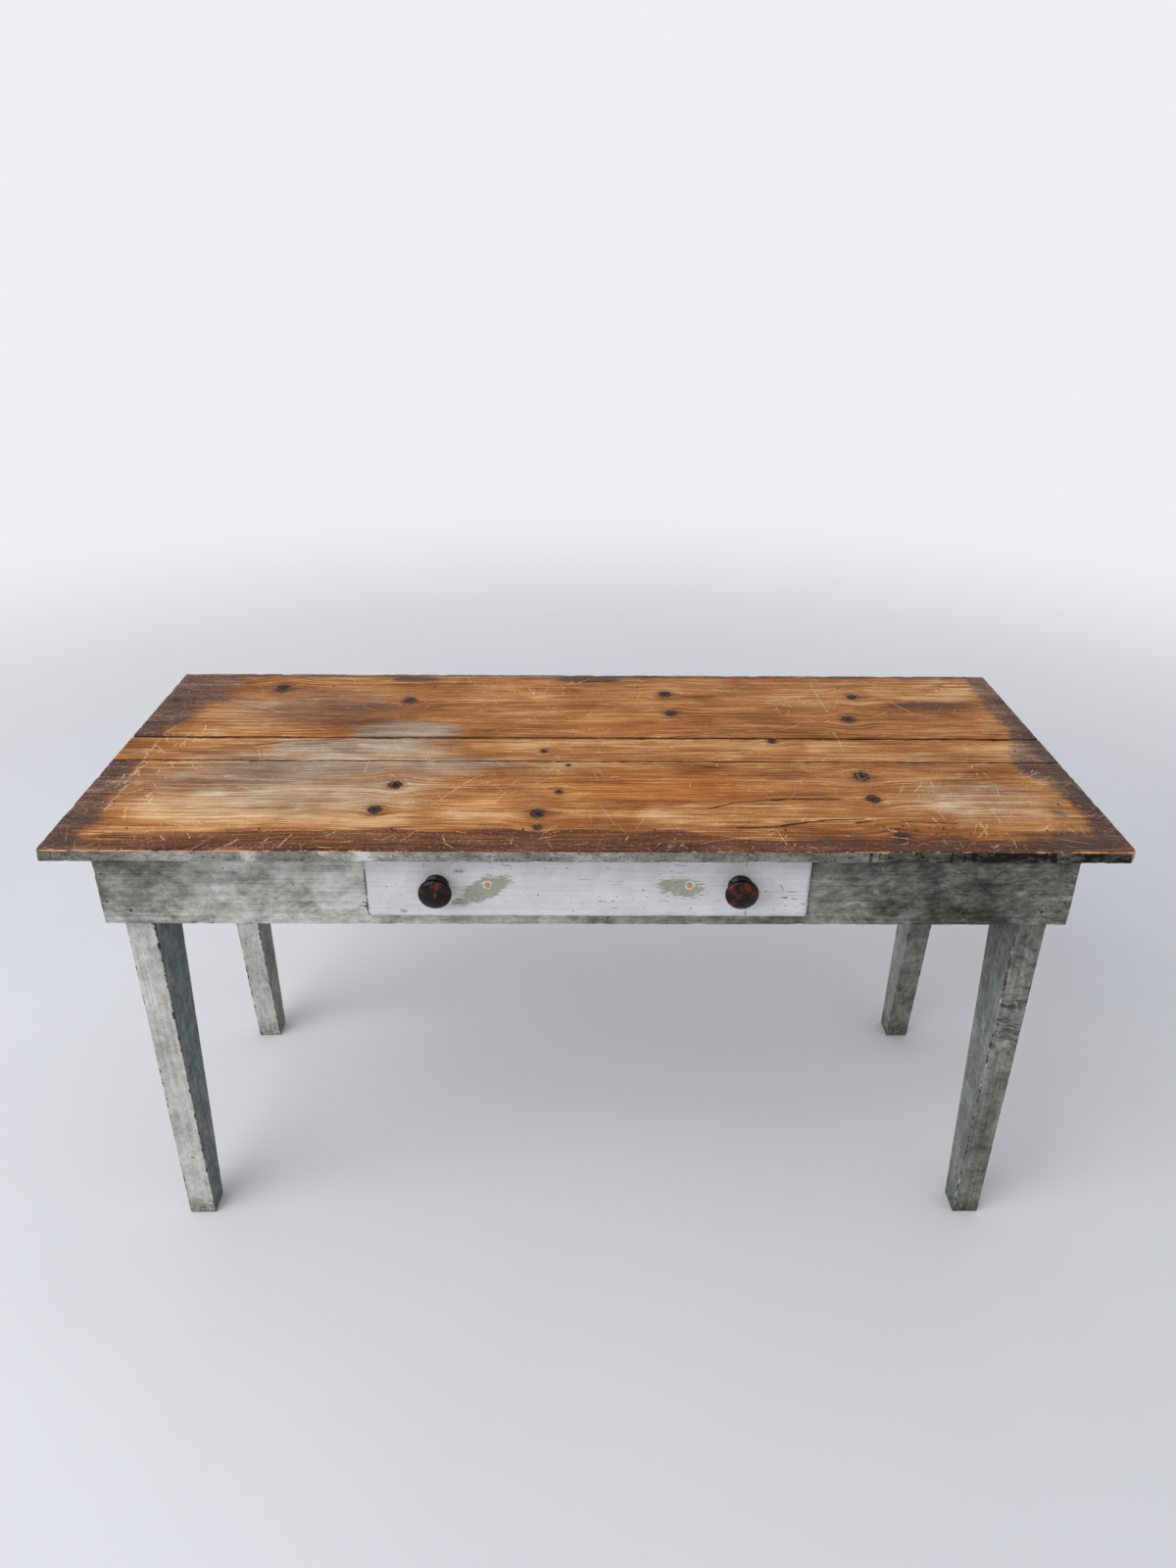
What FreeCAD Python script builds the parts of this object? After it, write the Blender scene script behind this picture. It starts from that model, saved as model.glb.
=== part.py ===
import FreeCAD, Part
import math
import os

from FreeCAD import Vector

# A farmhouse table: a three-board pine top nailed to a board apron, four plank legs that taper in
# depth, and one lipped drawer on wooden runners. Millimetres: X along the table, +Y away from the
# drawer, +Z up, with the origin on the floor under the middle of the top.

# Top boards
table_length = 1480.0
table_height = 762.0
top_thickness = 18.0
front_board_width = 273.0
middle_board_width = 84.0
back_board_width = 275.0
front_seam_gap = 1.0
back_seam_gap = 3.0
top_edge_radius = 4.0

# Battens under the top, which tie the three boards together
cleat_width = 70.0
cleat_thickness = 22.0
cleat_end_gap = 2.0
cleat_edge_radius = 3.0

# Apron boards
end_overhang = 46.0
long_overhang = 50.0
apron_thickness = 19.0
apron_edge_radius = 2.5

# Legs: planks of one width in X, which taper in Y on their inner faces
leg_width = 43.0
leg_top_depth = 100.0
leg_foot_depth = 43.0
leg_edge_radius = 3.0

# Drawer opening in the front apron, with the strips of board left under and over it
sill_height = 31.0
opening_height = 82.0
header_height = 22.0

# Drawer
drawer_box_width = 590.0
lip_overlap_side = 16.0
lip_overlap_top = 8.0
lip_overlap_bottom = 12.0
lip_thickness = 10.0
lip_radius = 6.0
front_block_thickness = 14.0
drawer_side_thickness = 12.0
drawer_back_thickness = 12.0
drawer_back_drop = 6.0
drawer_bottom_thickness = 6.0
drawer_bottom_rise = 8.0
groove_depth = 5.0
rear_gap = 15.0

# Drawer runners, guides and kickers
runner_thickness = 18.0
runner_reach = 13.0
guide_width = 20.0
guide_height = 25.0
housing_depth = 6.0

# Turned knobs and the two plugged holes of an older pull
knob_inset = 82.0
knob_rise = 3.0
knob_projection = 33.0
knob_cap_radius = 23.5
knob_base_radius = 17.5
knob_neck_radius = 11.0
plug_spacing = 71.0
plug_radius = 5.5

# Running clearances and fits
side_clearance = 2.0
running_clearance = 0.3
top_clearance = 2.2
lip_gap = 0.5
wood_fit = 0.2
bore_fit = 0.1
overrun = 1.0

# Fasteners
nail_shank_radius = 1.5
nail_head_radius = 3.5
nail_head_height = 1.2
nail_bite = 26.0
brad_shank_radius = 1.0
brad_head_radius = 2.0
brad_head_height = 0.8
brad_bite = 16.0
screw_shank_radius = 2.2
screw_head_radius = 4.5
screw_head_height = 2.5
screw_bite = 12.0
guide_nail_bite = 11.0
knob_screw_bite = 18.0
top_nail_count = 8
guide_nail_count = 3
bottom_brad_count = 4

# Shares of the piece that a fastener or a profile point sits on
top_nail_end_share = 0.08
top_nail_bite_share = 0.7
corner_nail_height_shares = (0.28, 0.62)
long_leg_nail_height_shares = (0.17, 0.8)
end_leg_nail_shares = ((0.4, 0.45), (0.72, 0.8))
drawer_nail_height_shares = (0.3, 0.78)
cleat_screw_shares = (0.25, 0.75)
kicker_screw_shares = (-0.72, -0.3, 0.3, 0.72)
guide_nail_span_share = 0.8
bottom_brad_span_share = 0.85
knob_foot_share = 0.08
knob_neck_share = 0.29
knob_under_share = 0.52
knob_brim_share = 0.68
knob_dome_share = 0.84
knob_under_radius_share = 0.8
knob_dome_radius_share = 0.83
edge_limit_share = 0.45

# Places worked out from the sizes
table_depth = (front_board_width + front_seam_gap + middle_board_width
               + back_seam_gap + back_board_width)
half_length = table_length / 2
half_depth = table_depth / 2
apron_height = sill_height + opening_height + header_height
under_top = table_height - top_thickness
apron_bottom = under_top - apron_height
apron_end = half_length - end_overhang
apron_face = half_depth - long_overhang
end_inside = apron_end - apron_thickness
long_inside = apron_face - apron_thickness
middle_board_front = -half_depth + front_board_width + front_seam_gap
middle_board_back = middle_board_front + middle_board_width
sill_top = apron_bottom + sill_height
opening_top = sill_top + opening_height
box_half = drawer_box_width / 2
opening_half = box_half + side_clearance
side_inside = box_half - drawer_side_thickness
lip_back = -apron_face - lip_gap
lip_face = lip_back - lip_thickness
block_back = lip_back + front_block_thickness
box_bottom = sill_top + running_clearance
box_top = opening_top - top_clearance
box_rear = long_inside - rear_gap
panel_bottom = box_bottom + drawer_bottom_rise
panel_top = panel_bottom + drawer_bottom_thickness
runner_inner = side_inside - runner_reach
runner_outer = opening_half + guide_width
cleat_place = (runner_outer + end_inside - leg_width) / 2
cleat_half = long_inside - cleat_end_gap
knob_height = (box_bottom + box_top) / 2 + knob_rise
knob_place = box_half - knob_inset
plug_place = knob_place - plug_spacing

sides = (("left", -1), ("right", 1))
ends = (("front", -1), ("back", 1))
nail = (nail_shank_radius, nail_head_radius, nail_head_height)
brad = (brad_shank_radius, brad_head_radius, brad_head_height)
screw = (screw_shank_radius, screw_head_radius, screw_head_height)
pieces = {}


def block(x_from, x_to, y_from, y_to, z_from, z_to):
    """A board between two corners, given in either order."""
    low = Vector(min(x_from, x_to), min(y_from, y_to), min(z_from, z_to))
    return Part.makeBox(abs(x_to - x_from), abs(y_to - y_from), abs(z_to - z_from), low)


def eased(shape, radius, thickness, wanted):
    """The shape with the edges that wanted() picks rounded, limited by the board's thickness."""
    edges = [edge for edge in shape.Edges if wanted(edge.CenterOfMass)]
    return shape.makeFillet(min(radius, thickness * edge_limit_share), edges)


def spread(count, reach):
    """Evenly spaced places from -reach to +reach."""
    return [reach * (2 * index / (count - 1) - 1) for index in range(count)]


def fastener(kind, seat, aim, length):
    """A nail or screw whose head's outer face is centred on seat, pointing along aim."""
    shank_radius, head_radius, head_height = kind
    head = Part.makeCylinder(head_radius, head_height, seat, aim)
    return head.fuse(Part.makeCylinder(shank_radius, length, seat, aim)).removeSplitter()


def fastener_hole(kind, seat, aim, length):
    """The hole for that nail or screw, open at its head."""
    shank_radius, head_radius, head_height = kind
    start = seat - aim * overrun
    head = Part.makeCylinder(head_radius + bore_fit, head_height + overrun, start, aim)
    return head.fuse(Part.makeCylinder(shank_radius + bore_fit, length + bore_fit + overrun, start, aim))


def drive(node, kind, places, through):
    """Drive a fastener at each place, and bore its hole in the pieces that it goes through."""
    holes = [fastener_hole(kind, *place) for place in places]
    for name in through:
        pieces[name] = pieces[name].cut(holes)
    pieces[node] = Part.makeCompound([fastener(kind, *place) for place in places])


def top_board(y_from, y_to):
    """One board of the top, rounded along its outer edges and left square at its seams."""
    board = block(-half_length, half_length, y_from, y_to, under_top, table_height)
    seams = [y for y in (y_from, y_to) if abs(y) < half_depth]
    return eased(board, top_edge_radius, top_thickness,
                 lambda middle: all(abs(middle.y - seam) > bore_fit for seam in seams))


def long_apron(sign):
    """The front or back apron board, housed on its inner face for the drawer runners."""
    board = block(-apron_end, apron_end, sign * long_inside, sign * apron_face, apron_bottom, under_top)
    board = eased(board, apron_edge_radius, apron_thickness,
                  lambda middle: abs(middle.y) > apron_face - bore_fit and middle.z < under_top - bore_fit)
    housings = [block(hand * (runner_inner - wood_fit), hand * (runner_outer + wood_fit),
                      sign * (long_inside - overrun), sign * (long_inside + housing_depth),
                      sill_top - runner_thickness, sill_top + wood_fit) for _, hand in sides]
    return board.cut(housings)


def leg(x_sign, y_sign):
    """A plank leg: upright on its outer faces, tapering on the inner one from the apron down."""
    outline = [(0, 0), (leg_foot_depth, 0), (leg_top_depth, apron_bottom), (leg_top_depth, under_top),
               (0, under_top), (0, 0)]
    points = [Vector(x_sign * end_inside, y_sign * (long_inside - depth), z) for depth, z in outline]
    plank = Part.Face(Part.makePolygon(points)).extrude(Vector(-x_sign * leg_width, 0, 0))
    outer_y = y_sign * long_inside
    return eased(plank, leg_edge_radius, leg_width,
                 lambda middle: bore_fit < middle.z < apron_bottom - bore_fit
                 and (abs(middle.y - outer_y) > bore_fit or abs(middle.z - under_top / 2) < bore_fit))


def drawer_front():
    """The drawer's front: a lip that covers the opening and a block that goes into it."""
    lip_half = opening_half + lip_overlap_side
    lip = block(-lip_half, lip_half, lip_face, lip_back,
                sill_top - lip_overlap_bottom, opening_top + lip_overlap_top)
    lip = eased(lip, lip_radius, lip_thickness * 2, lambda middle: middle.y < lip_face + bore_fit)
    inner = block(-side_inside, side_inside, lip_back, block_back, box_bottom, box_top)
    groove = block(-side_inside, side_inside, block_back - groove_depth, block_back + overrun,
                   panel_bottom - wood_fit, panel_top + wood_fit)
    return lip.fuse(inner).removeSplitter().cut(groove)


def drawer_side(sign):
    """A drawer side, grooved for the bottom."""
    side = block(sign * side_inside, sign * box_half, lip_back, box_rear, box_bottom, box_top)
    groove = block(sign * (side_inside - overrun), sign * (side_inside + groove_depth),
                   block_back - groove_depth, box_rear + overrun,
                   panel_bottom - wood_fit, panel_top + wood_fit)
    return side.cut(groove)


def knob(x):
    """A turned mushroom knob with its foot on the drawer's face."""
    def at(radius, share):
        return Vector(radius, -knob_projection * share, 0)

    foot_top = at(knob_base_radius, knob_foot_share)
    neck = at(knob_neck_radius, knob_neck_share)
    under = at(knob_cap_radius * knob_under_radius_share, knob_under_share)
    brim = at(knob_cap_radius, knob_brim_share)
    dome_radius = knob_cap_radius * knob_dome_radius_share
    dome_edge = at(dome_radius, knob_dome_share)
    dome_height = knob_projection * (1 - knob_dome_share)
    ball_radius = (dome_radius ** 2 + dome_height ** 2) / (2 * dome_height)
    half_angle = math.asin(dome_radius / ball_radius) / 2
    dome_middle = Vector(ball_radius * math.sin(half_angle),
                         ball_radius * (1 - math.cos(half_angle)) - knob_projection, 0)
    outline = [Part.makeLine(at(0, 0), at(knob_base_radius, 0)),
               Part.makeLine(at(knob_base_radius, 0), foot_top),
               Part.Arc(foot_top, neck, under).toShape(),
               Part.Arc(under, brim, dome_edge).toShape(),
               Part.Arc(dome_edge, dome_middle, at(0, 1)).toShape(),
               Part.makeLine(at(0, 1), at(0, 0))]
    turned = Part.Face(Part.Wire(outline)).revolve(Vector(0, 0, 0), Vector(0, 1, 0), 360)
    turned.translate(Vector(x, lip_face, knob_height))
    return turned


# The top: three boards and the battens under them
pieces["top_board_front"] = top_board(-half_depth, middle_board_front - front_seam_gap)
pieces["top_board_middle"] = top_board(middle_board_front, middle_board_back)
pieces["top_board_back"] = top_board(middle_board_back + back_seam_gap, half_depth)
boards = ["top_board_front", "top_board_middle", "top_board_back"]
for side, sign in sides:
    cleat = block(sign * cleat_place - cleat_width / 2, sign * cleat_place + cleat_width / 2,
                  -cleat_half, cleat_half,
                  under_top - cleat_thickness, under_top)
    pieces["top_cleat_" + side] = eased(cleat, cleat_edge_radius, cleat_thickness,
                                        lambda middle: middle.z < under_top - cleat_thickness + bore_fit)

# The frame: four apron boards and four legs
for end, sign in ends:
    pieces["apron_" + end] = long_apron(sign)
pieces["apron_front"] = pieces["apron_front"].cut(
    block(-opening_half, opening_half, -apron_face - overrun, overrun - long_inside, sill_top, opening_top))
for side, sign in sides:
    end_apron = block(sign * end_inside, sign * apron_end, -long_inside, long_inside,
                      apron_bottom, under_top)
    pieces["apron_" + side] = eased(
        end_apron, apron_edge_radius, apron_thickness,
        lambda middle: middle.z < apron_bottom + bore_fit and abs(middle.x) > apron_end - bore_fit)
    for end, end_sign in ends:
        pieces["leg_" + end + "_" + side] = leg(sign, end_sign)

# What carries the drawer: a runner under each side, a guide beside it and a kicker over it
runner_half = long_inside + housing_depth - wood_fit
for side, sign in sides:
    pieces["drawer_runner_" + side] = block(sign * runner_inner, sign * runner_outer,
                                            -runner_half, runner_half,
                                            sill_top - runner_thickness, sill_top)
    pieces["drawer_guide_" + side] = block(sign * opening_half, sign * runner_outer,
                                           -long_inside, long_inside, sill_top, sill_top + guide_height)
    pieces["drawer_kicker_" + side] = block(sign * runner_inner, sign * runner_outer,
                                            -long_inside, long_inside, opening_top, under_top)

# The drawer
panel_half = side_inside + groove_depth - wood_fit
pieces["drawer_front"] = drawer_front()
for side, sign in sides:
    pieces["drawer_side_" + side] = drawer_side(sign)
    pieces["knob_" + side] = knob(sign * knob_place)
pieces["drawer_back"] = block(-side_inside, side_inside, box_rear - drawer_back_thickness, box_rear,
                              panel_top, box_top - drawer_back_drop)
pieces["drawer_bottom"] = block(-panel_half, panel_half, block_back - groove_depth + wood_fit, box_rear,
                                panel_bottom, panel_top)

# The plugs that fill the holes of an older pull
front_thickness = block_back - lip_face
plugs = []
for _, sign in sides:
    seat = Vector(sign * plug_place, lip_face, knob_height)
    plugs.append(Part.makeCylinder(plug_radius, front_thickness, seat, Vector(0, 1, 0)))
    pieces["drawer_front"] = pieces["drawer_front"].cut(
        Part.makeCylinder(plug_radius + bore_fit, front_thickness + 2 * overrun,
                          seat - Vector(0, overrun, 0), Vector(0, 1, 0)))
pieces["old_handle_plugs"] = Part.makeCompound(plugs)

# Knob screws, driven from inside the drawer
knob_screw_length = screw_head_height + front_thickness + knob_screw_bite
for side, sign in sides:
    seat = Vector(sign * knob_place, block_back + screw_head_height, knob_height)
    drive("knob_screw_" + side, screw, [(seat, Vector(0, -1, 0), knob_screw_length)],
          ["drawer_front", "knob_" + side])

# Nails through the top into the aprons
down = Vector(0, 0, -1)
up = Vector(0, 0, 1)
apron_line = apron_face - apron_thickness / 2
end_line = apron_end - apron_thickness / 2
top_nail_length = top_thickness + header_height * top_nail_bite_share
board_middles = [(middle_board_front - front_seam_gap - half_depth) / 2,
                 (middle_board_front + middle_board_back) / 2,
                 (middle_board_back + back_seam_gap + half_depth) / 2]
nail_row = spread(top_nail_count, apron_end * (1 - top_nail_end_share))
top_nail_places = [(Vector(x, sign * apron_line, table_height), down, top_nail_length)
                   for x in nail_row for _, sign in ends]
top_nail_places += [(Vector(sign * end_line, y, table_height), down, top_nail_length)
                    for y in board_middles for _, sign in sides]
drive("top_nails", nail, top_nail_places,
      boards + ["apron_front", "apron_back", "apron_left", "apron_right"])

# Screws up through the battens and the kickers into the boards
cleat_rows = [-cleat_half + (cleat_half + middle_board_front - front_seam_gap) * share
              for share in cleat_screw_shares]
cleat_rows += [(middle_board_front + middle_board_back) / 2]
cleat_rows += [cleat_half - (cleat_half - middle_board_back - back_seam_gap) * share
               for share in cleat_screw_shares]
cleat_screw_places = [(Vector(sign * cleat_place, y, under_top - cleat_thickness), up,
                       cleat_thickness + screw_bite) for y in cleat_rows for _, sign in sides]
drive("cleat_screws", screw, cleat_screw_places, boards + ["top_cleat_left", "top_cleat_right"])
kicker_line = (runner_inner + runner_outer) / 2
kicker_screw_places = [(Vector(sign * kicker_line, long_inside * share, opening_top), up,
                        header_height + screw_bite)
                       for share in kicker_screw_shares for _, sign in sides]
drive("kicker_screws", screw, kicker_screw_places,
      boards + ["drawer_kicker_left", "drawer_kicker_right"])

# Nails through the long aprons into the end aprons, and through all four into the legs
frame_nail_length = apron_thickness + nail_bite
leg_line = end_inside - leg_width / 2
corner_nail_places = [(Vector(sign * end_line, end_sign * apron_face, apron_bottom + apron_height * share),
                       Vector(0, -end_sign, 0), frame_nail_length)
                      for share in corner_nail_height_shares for _, sign in sides for _, end_sign in ends]
drive("apron_corner_nails", nail, corner_nail_places,
      ["apron_front", "apron_back", "apron_left", "apron_right"])
leg_nail_places = [(Vector(sign * leg_line, end_sign * apron_face, apron_bottom + apron_height * share),
                    Vector(0, -end_sign, 0), frame_nail_length)
                   for share in long_leg_nail_height_shares for _, sign in sides for _, end_sign in ends]
leg_nail_places += [(Vector(sign * apron_end, end_sign * (long_inside - leg_top_depth * depth_share),
                            apron_bottom + apron_height * height_share),
                     Vector(-sign, 0, 0), frame_nail_length)
                    for height_share, depth_share in end_leg_nail_shares
                    for _, sign in sides for _, end_sign in ends]
drive("leg_nails", nail, leg_nail_places,
      [name for name in pieces if name.startswith(("leg_front", "leg_back"))]
      + ["apron_front", "apron_back", "apron_left", "apron_right"])

# Nails down through the guides into the runners
guide_line = (opening_half + runner_outer) / 2
guide_nail_places = [(Vector(sign * guide_line, y, sill_top + guide_height), down,
                      guide_height + guide_nail_bite)
                     for y in spread(guide_nail_count, long_inside * guide_nail_span_share)
                     for _, sign in sides]
drive("guide_nails", brad, guide_nail_places,
      ["drawer_guide_left", "drawer_guide_right", "drawer_runner_left", "drawer_runner_right"])

# Brads that hold the drawer together: its sides to front and back, its bottom to its back
box_height = box_top - box_bottom
side_brad_lines = [(lip_back + block_back) / 2, box_rear - drawer_back_thickness / 2]
drawer_nail_places = [(Vector(sign * box_half, y, box_bottom + box_height * share), Vector(-sign, 0, 0),
                       drawer_side_thickness + brad_bite)
                      for y in side_brad_lines for share in drawer_nail_height_shares for _, sign in sides]
drawer_nail_places += [(Vector(x, box_rear - drawer_back_thickness / 2, panel_bottom), up,
                        drawer_bottom_thickness + brad_bite)
                       for x in spread(bottom_brad_count, side_inside * bottom_brad_span_share)]
drive("drawer_nails", brad, drawer_nail_places,
      ["drawer_front", "drawer_side_left", "drawer_side_right", "drawer_back", "drawer_bottom"])

os.makedirs("parts", exist_ok=True)
for name, shape in pieces.items():
    shape.exportStep("parts/" + name + ".step")
    print(name, len(shape.Solids), "solids", round(shape.Volume), "mm3", shape.isValid())
print("table", table_length, "x", table_depth, "x", table_height)
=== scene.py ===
# %% [markdown]
# # A worn farmhouse table
# The table has three pine boards for a top, a grey painted frame with four tapered plank legs,
# and one wide drawer with two dark knobs. The CAD model gives every piece its size and place.
# This lesson dresses it: the planed blocks get worn arrises, and the surfaces get old pine,
# old paint, glaze and iron. First the imported model is loaded.

# %% The frame that everything hangs on
import math
from types import SimpleNamespace

import bmesh
import bpy
import numpy as np
from mathutils import Matrix, Vector


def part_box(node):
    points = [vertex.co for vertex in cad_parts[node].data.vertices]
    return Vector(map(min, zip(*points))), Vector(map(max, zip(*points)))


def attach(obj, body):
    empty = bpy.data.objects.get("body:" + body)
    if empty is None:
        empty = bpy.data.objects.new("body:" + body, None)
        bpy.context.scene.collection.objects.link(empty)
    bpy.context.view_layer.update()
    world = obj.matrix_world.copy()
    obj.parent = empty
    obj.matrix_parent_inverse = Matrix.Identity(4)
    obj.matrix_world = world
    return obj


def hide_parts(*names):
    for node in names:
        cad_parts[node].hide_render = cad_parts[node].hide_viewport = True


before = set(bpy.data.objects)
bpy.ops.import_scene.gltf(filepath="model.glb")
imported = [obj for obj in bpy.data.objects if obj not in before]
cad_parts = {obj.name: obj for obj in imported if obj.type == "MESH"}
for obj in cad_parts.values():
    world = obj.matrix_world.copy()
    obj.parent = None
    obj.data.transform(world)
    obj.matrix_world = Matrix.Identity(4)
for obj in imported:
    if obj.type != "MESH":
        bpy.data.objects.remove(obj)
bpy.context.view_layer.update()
MM = 0.001

# %% [markdown]
# ## The camera
# The photo was taken by someone standing in front of the table, a little left of its middle,
# with a wide lens that looks down on the top. A camera was fitted to the corners of the top,
# the apron and the feet, so its place and turn are given here as numbers. The picture is
# 1600 pixels high, and the focal length in pixels becomes a lens length on a 36 mm sensor.

# %% Camera
EYE = Vector((-0.0170, -1.5670, 1.5119))
PITCH, YAW, ROLL = 0.47867, 0.01168, 0.00834
FOCAL_PIXELS, PICTURE_HEIGHT, SENSOR = 1108.5, 1600, 36.0
FARTHEST = 60

forward = Vector((math.sin(YAW) * math.cos(PITCH), math.cos(YAW) * math.cos(PITCH),
                  -math.sin(PITCH)))
level = Vector((math.cos(YAW), -math.sin(YAW), 0))
above = level.cross(forward)
right = math.cos(ROLL) * level + math.sin(ROLL) * above
upward = math.cos(ROLL) * above - math.sin(ROLL) * level
turn = Matrix((right, upward, -forward)).transposed().to_4x4()

lens = bpy.data.cameras.new("photo_lens")
lens.sensor_width = SENSOR
lens.lens = SENSOR * FOCAL_PIXELS / PICTURE_HEIGHT
lens.clip_end = FARTHEST
camera = bpy.data.objects.new("photo_camera", lens)
camera.matrix_world = Matrix.Translation(EYE) @ turn
bpy.context.scene.collection.objects.link(camera)
bpy.context.scene.camera = camera
print("camera with a lens of", round(lens.lens, 2), "mm")

# %% [markdown]
# ## Wiring nodes by hand
# A material is a net of nodes. Clicking them together in the shader editor is one way; in a
# script it is shorter to have a small helper whose calls add a node, plug in what it needs
# and give back its result. A result can be added, multiplied and so on like any number, and
# each sign adds a maths node; the sign | takes the larger of two. Colours are written as a
# photo editor gives them, from 0 to 255, and turned to the linear light that Blender reckons in.

# %% Results of nodes
def shade(red, green, blue):
    """A colour from 0 to 255 as linear light."""
    part = np.array((red, green, blue)) / 255
    linear = np.where(part <= 0.04045, part / 12.92, ((part + 0.055) / 1.055) ** 2.4)
    return (*linear.tolist(), 1.0)


class Result:
    """What a node gives. Reckoning with it adds nodes to the same tree."""

    def __init__(self, wires, socket):
        self.wires, self.socket = wires, socket

    def __add__(self, other):
        return self.wires.maths("ADD", self, other)

    def __radd__(self, other):
        return self.wires.maths("ADD", other, self)

    def __sub__(self, other):
        return self.wires.maths("SUBTRACT", self, other)

    def __mul__(self, other):
        return self.wires.maths("MULTIPLY", self, other)

    def __or__(self, other):
        return self.wires.maths("MAXIMUM", self, other)

    def swing(self, size):
        """A number that swings about a half, as one that swings about nothing."""
        return (self - 0.5) * size

    def step(self, low, high):
        """0 below low and 1 above high, with a soft ramp between."""
        inputs = {"Value": self, "From Min": low, "From Max": high}
        return self.wires.node("ShaderNodeMapRange", inputs, interpolation_type="SMOOTHSTEP")

    def ramp(self, *stops):
        """Colours along a scale from 0 to 1: each stop is a place and a colour."""
        made = self.wires.tree.nodes.new("ShaderNodeValToRGB")
        band = made.color_ramp.elements
        while len(band) < len(stops):
            band.new(0.5)
        for stop, (spot, colour) in zip(band, stops):
            stop.position = spot
            stop.color = shade(*colour)
        self.wires.plug(made, {"Fac": self})
        return self.wires.results(made)["Color"]

    def blend(self, first, second, how="MIX"):
        """A mask's mix of two colours."""
        inputs = {0: self, 6: first, 7: second}
        return self.wires.node("ShaderNodeMix", inputs, 2, data_type="RGBA", blend_type=how)

    def coat(self, over, mask):
        """A colour with another laid over it through a mask."""
        return mask.blend(self, over)


print("a mid grey is", round(shade(128, 128, 128)[0], 3), "of white")


# %% A helper that wires nodes
class Wiring:
    """A node tree in the making. Each call adds a node and returns its result."""

    def __init__(self, tree, material=None):
        self.tree, self.material = tree, material

    def results(self, made):
        return {socket.name: Result(self, socket) for socket in made.outputs}

    def plug(self, made, inputs):
        for label, value in inputs.items():
            if isinstance(value, Result):
                self.tree.links.new(value.socket, made.inputs[label])
            else:
                made.inputs[label].default_value = value

    def node(self, kind, inputs=None, out=0, **settings):
        made = self.tree.nodes.new(kind)
        for label, value in settings.items():
            setattr(made, label, value)
        self.plug(made, inputs or {})
        return Result(self, made.outputs[out])

    def use(self, group, **inputs):
        """A node group, with its inputs by name. Its results go by name too."""
        made = self.tree.nodes.new("ShaderNodeGroup")
        made.node_tree = bpy.data.node_groups[group]
        self.plug(made, inputs)
        return self.results(made)

    def maths(self, operation, first, second=0.0, clamp=False):
        return self.node("ShaderNodeMath", {0: first, 1: second},
                         operation=operation, use_clamp=clamp)

    def vector(self, operation, first, second, out=0):
        return self.node("ShaderNodeVectorMath", {0: first, 1: second}, out, operation=operation)

    def scaled(self, vector, size):
        return self.node("ShaderNodeVectorMath", {0: vector, "Scale": size}, operation="SCALE")

    def turned(self, vector, angles):
        return self.node("ShaderNodeMapping", {"Vector": vector, "Rotation": angles})

    def noise(self, place, stretch, detail=3.0, rough=0.5):
        """Noise with so many lumps to the metre along each axis, or along all three."""
        stretch = stretch if isinstance(stretch, tuple) else (stretch,) * 3
        place = self.vector("MULTIPLY", place, stretch)
        inputs = {"Vector": place, "Scale": 1.0, "Detail": detail, "Roughness": rough}
        return self.node("ShaderNodeTexNoise", inputs)

    def mark(self, label):
        """A number that the mesh carries at each of its points."""
        return self.node("ShaderNodeAttribute", out="Fac", attribute_name=label)

    def place(self):
        return self.node("ShaderNodeTexCoord", out="Object")

    def show(self, shader, kind="Material"):
        """Ends the tree with a shader."""
        self.plug(self.tree.nodes.new("ShaderNodeOutput" + kind), {"Surface": shader})


print("wiring helper ready")


# %% Groups and materials
def new_group(label, inputs, outputs, tree_kind="ShaderNodeTree"):
    """An empty node group: its wiring, what comes in, what goes out.

    A socket is given by its kind or, if it takes a number, by its usual value."""
    tree = bpy.data.node_groups.new(label, tree_kind)
    for in_out, sockets in (("INPUT", inputs), ("OUTPUT", outputs)):
        for name, kind in sockets.items():
            value, kind = (None, kind) if isinstance(kind, str) else (kind, "Float")
            socket = tree.interface.new_socket(name, in_out=in_out, socket_type="NodeSocket" + kind)
            if value is not None:
                socket.default_value = value
    wires = Wiring(tree)
    given = wires.results(tree.nodes.new("NodeGroupInput"))
    return wires, given, tree.nodes.new("NodeGroupOutput")


def new_material(label):
    """A material with an empty tree, ready to be wired."""
    material = bpy.data.materials.new(label)
    material.use_nodes = True
    material.node_tree.nodes.clear()
    return Wiring(material.node_tree, material)


def finish(wires, colour, rough, height, depth=0.5 * MM, strength=0.5, **sockets):
    """The material around a wired tree: one Principled shader, with its bump."""
    bump = wires.node("ShaderNodeBump", {"Strength": strength, "Distance": depth, "Height": height})
    inputs = {"Base Color": colour, "Roughness": rough, "Normal": bump, **sockets}
    wires.show(wires.node("ShaderNodeBsdfPrincipled", inputs))
    return wires.material


def gloss(level):
    """How strongly a finish mirrors the sky: the shader's level, by its socket's name."""
    return {"Specular IOR Level": level}


print("group and material helpers ready")

# %% [markdown]
# ## Effects that several finishes share
# Old wood and old paint repeat a few effects: the grain of pine, knots that push the grain
# aside, clouds of grime, paint that flakes where it is worn, fine scratches, and single long
# marks such as a crack. Each is a node group with named sockets, built once and placed in a
# material with its own values. The groups give only masks and numbers; colours come later.

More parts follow.
